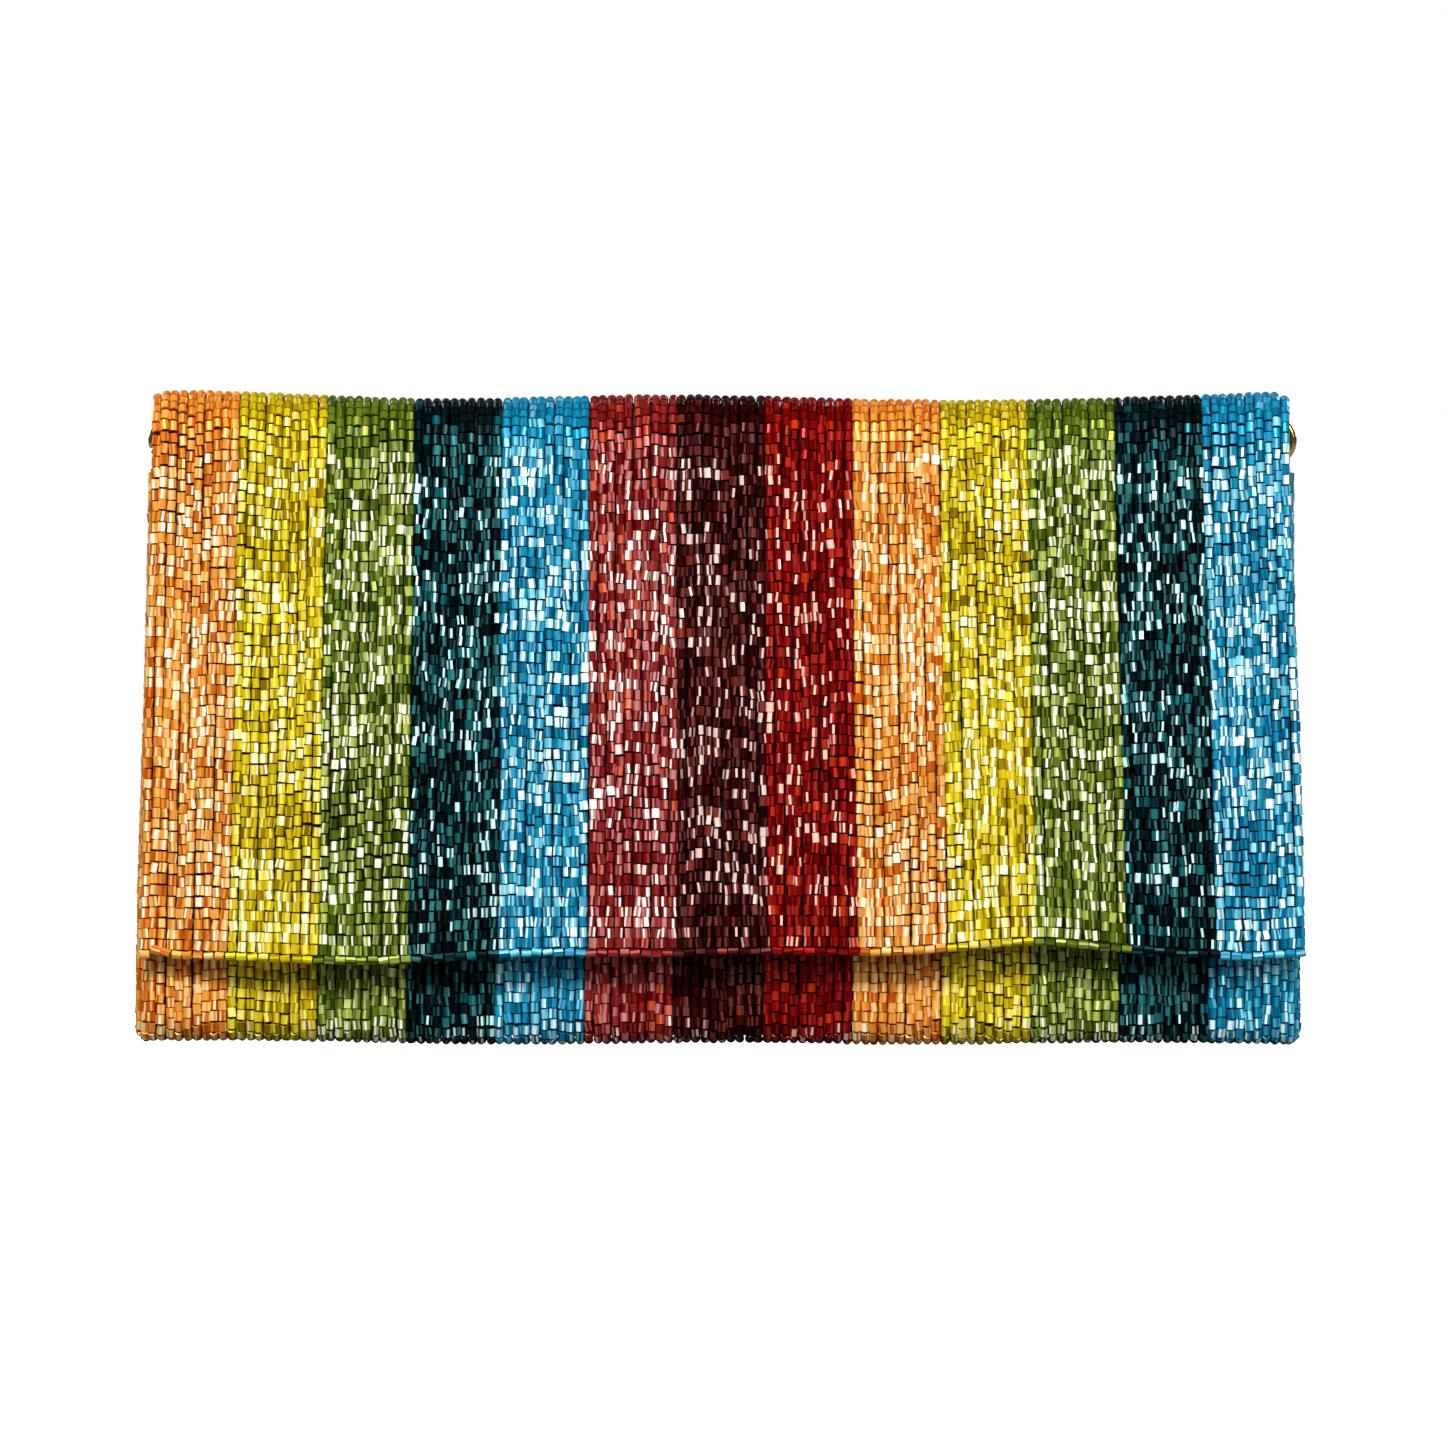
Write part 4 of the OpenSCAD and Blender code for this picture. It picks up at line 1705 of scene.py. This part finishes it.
    def build(self) -> None:
        """Make all the layers, outermost first."""
        cloth = Layer("cloth", 2.0 * MM, 0.5 * MM, "base_cloth", ("pouch_cloth", "fold_cloth", "flap_cloth"),
                      wide=0.990)
        felt = Layer("interlining", 2.55 * MM, 0.7 * MM, "interlining",
                     ("pouch_interlining", None, "flap_interlining"), wide=0.972, short=1.8 * MM)
        lining = Layer("lining", 3.3 * MM, 0.4 * MM, "lining", ("pouch_lining", "fold_lining", "flap_lining"),
                       wide=0.998, turned=1.2 * MM, tucked=0.7 * MM, closes=0.78 * MM)
        self.build_layer(cloth, self.paints.cloth)
        self.build_layer(felt, self.paints.felt)
        self.build_layer(lining, self.paints.lining)
        self.facing()
        self.stitches(lining)


# ---------------------------------------------------------------------------------------------------------
# Hardware
# ---------------------------------------------------------------------------------------------------------


@dataclass
class StrapRings:
    """The two small strap rings and the ribbon tabs that hold them.

    Attributes:
        shape: The purse's shape.
        paints: Its materials.
        steps: Points round a ring.
        wire_steps: Points round its wire.
        tab_w: Width of a tab's ribbon at the ring.
        tab_spread: How much wider it is where it is sewn.
        ribbon_t: Thickness of the ribbon.
    """

    shape: PurseShape
    paints: Paints
    steps: int = 72
    wire_steps: int = 16
    tab_w: float = 3.0 * MM
    tab_spread: float = 1.4 * MM
    ribbon_t: float = 0.5 * MM

    def ring(self, body: Body) -> bpy.types.Object:
        """Bend one ring from round wire, with the hairline where its ends meet.

        Args:
            body: The ring's body, which is also its CAD node's name.

        Returns:
            The piece.
        """
        low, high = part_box(body.value)
        centre = (np.array(low) + np.array(high)) / 2
        wire_r = (high.y - low.y) / 2
        ring_r = (high.x - low.x) / 2 - wire_r
        slit, slit_at, rounded_end = 0.035, math.radians(200), 0.86
        turn = np.linspace(slit, 2 * math.pi - slit, self.steps) + slit_at
        around = np.linspace(0, 2 * math.pi, self.wire_steps, endpoint=False)
        points, faces = [], []
        for k, t in enumerate(turn):
            shrink = rounded_end if k in (0, self.steps - 1) else 1.0
            for a in around:
                reach = ring_r + wire_r * shrink * math.cos(a)
                points.append((reach * math.cos(t), wire_r * shrink * math.sin(a), reach * math.sin(t)))
        for k in range(self.steps - 1):
            for j in range(self.wire_steps):
                after = (j + 1) % self.wire_steps
                first, second = k * self.wire_steps, (k + 1) * self.wire_steps
                faces.append((first + j, first + after, second + after, second + j))
        last = (self.steps - 1) * self.wire_steps
        faces.append(tuple(range(self.wire_steps))[::-1])
        faces.append(tuple(last + j for j in range(self.wire_steps)))
        piece = new_piece(f"strap_{body.value}", np.array(points) + centre, faces, self.paints.gold)
        welded(piece, 1e-7)
        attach(piece, body.value)
        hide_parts(body.value)
        return piece

    def tab(self, node: str, ring_node: str) -> bpy.types.Object:
        """Fold a ribbon round the ring and sew its ends inside the side seam.

        Args:
            node: The tab's CAD node.
            ring_node: The ring's CAD node.

        Returns:
            The piece.
        """
        low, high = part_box(node)
        ring_low, ring_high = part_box(ring_node)
        side = 1 if low.x > 0 else -1
        wire_r = (ring_high.y - ring_low.y) / 2
        eye_z = ring_low.z + wire_r
        mid_x = (ring_low.x + ring_high.x) / 2
        mid_y = (ring_low.y + ring_high.y) / 2
        room, neck, apart, loop_start = 1.05 * MM, 3 * MM, 0.55 * MM, -68
        bend_r = wire_r + room
        leg = np.linspace(low.z, eye_z - neck, 10)
        turn = np.radians(np.linspace(loop_start, 180 - loop_start, 27))
        rise = np.stack([np.full(len(leg), apart), leg], -1)
        loop = np.stack([bend_r * np.cos(turn), eye_z + bend_r * np.sin(turn)], -1)
        path = np.concatenate([rise, loop, (rise * [-1, 1])[::-1]])
        tangent = unit(np.gradient(path, axis=0))
        across = np.linspace(-0.5, 0.5, 9)
        sewn_start, sewn_reach = 2 * MM, 6 * MM
        sewn = smooth((eye_z - sewn_start - path[:, 1]) / sewn_reach)
        wide = self.tab_w + self.tab_spread * sewn
        inward = 0.2 * MM
        x_mid = mid_x + (self.shape.lean - side * inward) * sewn
        grid = np.zeros((len(path), len(across), 3))
        normal = np.zeros_like(grid)
        grid[..., 0] = x_mid[:, None] + across * wide[:, None]
        grid[..., 1] = mid_y + path[:, :1]
        grid[..., 2] = path[:, 1:]
        normal[..., 1] = tangent[:, 1:]
        normal[..., 2] = -tangent[:, :1]
        points, faces = thick_grid(grid, normal, self.ribbon_t)
        piece = new_piece(f"strap_{node}", points, faces, self.paints.ribbon)
        welded(piece, 1e-7)
        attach(piece, Body.POUCH.value)
        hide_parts(node)
        return piece

    def build(self) -> None:
        """Make both rings and both tabs."""
        for body in (Body.RING_LEFT, Body.RING_RIGHT):
            self.ring(body)
            self.tab(body.value.replace("ring", "ring_tab"), body.value)
        LOG.info("strap rings made")


@dataclass
class MagneticSnap:
    """The hidden magnetic snap under the flap."""

    paints: Paints

    def turned(self, name: str, node: str, profile: Sequence[tuple[float, float]], body: Body,
               paint: bpy.types.Material, slot: str) -> bpy.types.Object:
        """Turn one round part on the snap's axis.

        Args:
            name: The piece's name.
            node: The CAD node that it stands for.
            profile: (radius, depth) in millimetres, depth from the node's front face.
            body: The body that it rides on.
            paint: Its material.
            slot: The record's material slot; not used.

        Returns:
            The piece.
        """
        low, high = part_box(node)
        centre = Vector(((low.x + high.x) / 2, low.y, (low.z + high.z) / 2))
        points, faces = lathe([(r * MM, y * MM) for r, y in profile], 48)
        piece = new_piece(name, points + np.array(centre), faces, paint)
        welded(piece, 1e-7)
        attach(piece, body.value)
        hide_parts(node)
        return piece

    def build(self) -> None:
        """Make the socket, its magnet, the stud and both washers."""
        gold = self.paints.gold
        socket = [(2.8, 2.35), (2.8, 0.35), (2.95, 0.1), (3.3, 0.0), (3.7, 0.08), (3.9, 0.3), (4.4, 0.36),
                  (5.4, 0.36), (6.2, 0.3), (6.55, 0.45), (6.85, 0.8), (7.0, 1.3), (7.0, 2.4), (6.2, 2.4),
                  (6.0, 2.2), (5.6, 2.2), (5.55, 0.7), (3.1, 0.7), (3.0, 2.35), (2.8, 2.35)]
        self.turned("snap_socket_shell", "snap_socket", socket, Body.POUCH, gold, "gold_metal")
        magnet = [(3.05, 0.2), (3.2, 0.02), (5.3, 0.02), (5.5, 0.2), (5.5, 1.7), (5.3, 1.8), (3.2, 1.8),
                  (3.05, 1.6), (3.05, 0.2)]
        self.turned("snap_ring_magnet", "snap_magnet", magnet, Body.POUCH, self.paints.ferrite, "magnet")
        stud = [(0.0, 0.0), (6.6, 0.0), (6.9, 0.2), (7.0, 0.6), (6.95, 1.15), (6.7, 1.45), (6.2, 1.58),
                (5.6, 1.5), (5.2, 1.34), (3.2, 1.34), (2.7, 1.45), (2.35, 1.7), (2.3, 2.0), (2.3, 3.0),
                (2.1, 3.3), (1.7, 3.4), (0.0, 3.4)]
        self.turned("snap_stud_plate", "snap_stud", stud, Body.FLAP, gold, "gold_metal")
        washer = [(1.2, 0.0), (5.8, 0.0), (6.0, 0.15), (6.0, 0.35), (5.8, 0.5), (1.2, 0.5), (1.0, 0.3),
                  (1.0, 0.15), (1.2, 0.0)]
        self.turned("snap_back_washer", "snap_socket_washer", washer, Body.POUCH, gold, "gold_metal")
        self.turned("snap_flap_washer", "snap_stud_washer", washer, Body.FLAP, gold, "gold_metal")
        LOG.info("magnetic snap made")


# ---------------------------------------------------------------------------------------------------------
# Studio
# ---------------------------------------------------------------------------------------------------------


@dataclass
class Studio:
    """A pale floor, soft light and a level camera in front of the purse.

    Attributes:
        distance: From the camera to the purse's front.
        view_w: Width that the camera sees at the purse's front.
        eye_z: Height of the camera.
        front_y: Where the purse's front lies from front to back.
    """

    distance: float = 3.0
    view_w: float = 0.3464
    eye_z: float = 0.0777
    front_y: float = -0.012

    def camera(self) -> None:
        """Set the camera level with the middle of the purse."""
        data = bpy.data.cameras.new("camera")
        data.sensor_width = 36
        data.lens = 36 * self.distance / self.view_w
        data.clip_end = 50
        camera = bpy.data.objects.new("camera", data)
        camera.location = (0, self.front_y - self.distance, self.eye_z)
        camera.rotation_euler = (math.radians(90), 0, 0)
        bpy.context.scene.collection.objects.link(camera)
        bpy.context.scene.camera = camera

    def floor(self) -> None:
        """Lay the floor."""
        half = 4.0
        points = [(-half, -half, 0), (half, -half, 0), (half, half, 0), (-half, half, 0)]
        material = bpy.data.materials.new("studio_floor")
        material.use_nodes = True
        material.node_tree.nodes.clear()
        sheet = NodeSheet(material.node_tree)
        seen = sheet.add("LightPath").outputs["Is Camera Ray"]
        bounce = sheet.add("BsdfDiffuse", Color=(0.22, 0.22, 0.22))
        paper = sheet.add("BsdfDiffuse", Color=(0.90, 0.90, 0.90))
        glow = sheet.add("Emission", Color=(1.0, 1.0, 1.0), Strength=0.86)
        lit = sheet.add("AddShader")
        sheet.feed(lit.inputs[0], paper.outputs[0])
        sheet.feed(lit.inputs[1], glow.outputs[0])
        both = sheet.add("MixShader", Fac=seen)
        sheet.feed(both.inputs[1], bounce.outputs[0])
        sheet.feed(both.inputs[2], lit.outputs[0])
        output = sheet.add("OutputMaterial")
        sheet.feed(output.inputs["Surface"], both.outputs[0])
        new_piece("studio_floor", np.array(points), [(0, 1, 2, 3)], material)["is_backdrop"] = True

    def softbox(self, name: str, place: Sequence[float], size: tuple[float, float], power: float) -> None:
        """Hang one soft light that faces the purse.

        Args:
            name: Its name.
            place: Where it hangs.
            size: Its width and height.
            power: Its power in watts.
        """
        data = bpy.data.lights.new(name, "AREA")
        data.shape = "RECTANGLE"
        data.size, data.size_y = size
        data.energy = power
        lamp = bpy.data.objects.new(name, data)
        lamp.location = place
        aim = Vector((0, 0, 0.08)) - Vector(place)
        lamp.rotation_euler = aim.to_track_quat("-Z", "Y").to_euler()
        bpy.context.scene.collection.objects.link(lamp)

    def world(self) -> None:
        """Surround the set with white that reflects as a softer grey."""
        world = bpy.data.worlds.new("studio")
        world.use_nodes = True
        world.node_tree.nodes.clear()
        sheet = NodeSheet(world.node_tree)
        seen = sheet.add("LightPath").outputs["Is Camera Ray"]
        plain = sheet.add("Background", Color=(1.0, 1.0, 1.0), Strength=1.0)
        fill = sheet.add("Background", Color=(0.96, 0.98, 1.0), Strength=0.11)
        both = sheet.add("MixShader", Fac=seen)
        sheet.feed(both.inputs[1], fill.outputs[0])
        sheet.feed(both.inputs[2], plain.outputs[0])
        output = sheet.add("OutputWorld")
        sheet.feed(output.inputs["Surface"], both.outputs[0])
        bpy.context.scene.world = world

    def build(self) -> None:
        """Set everything up."""
        bpy.context.scene.view_settings.view_transform = "Standard"
        self.camera()
        self.floor()
        self.softbox("key", (-0.5, -1.5, 1.4), (0.5, 0.5), 54)
        self.softbox("fill", (0.9, -1.5, 0.9), (0.4, 0.9), 20)
        self.softbox("back_left", (-1.2, 1.4, 0.8), (0.6, 1.0), 19)
        self.softbox("back_right", (1.2, 1.4, 0.8), (0.6, 1.0), 19)
        self.world()
        LOG.info("studio set")


STRIPES = ("orange", "yellow", "green", "teal", "blue", "rose", "maroon", "red",
           "orange", "yellow", "green", "teal", "blue")


def main() -> None:
    """Build the purse piece by piece."""
    logging.basicConfig(level=logging.INFO, format="%(name)s: %(message)s")
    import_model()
    Studio().build()
    paints = Paints()
    shape = PurseShape()
    cover = BeadCover(shape, paints, STRIPES)
    cover.build()
    BeadEdging(cover).build()
    SoftLayers(shape, paints).build()
    StrapRings(shape, paints).build()
    MagneticSnap(paints).build()


if __name__ == "__main__":
    main()
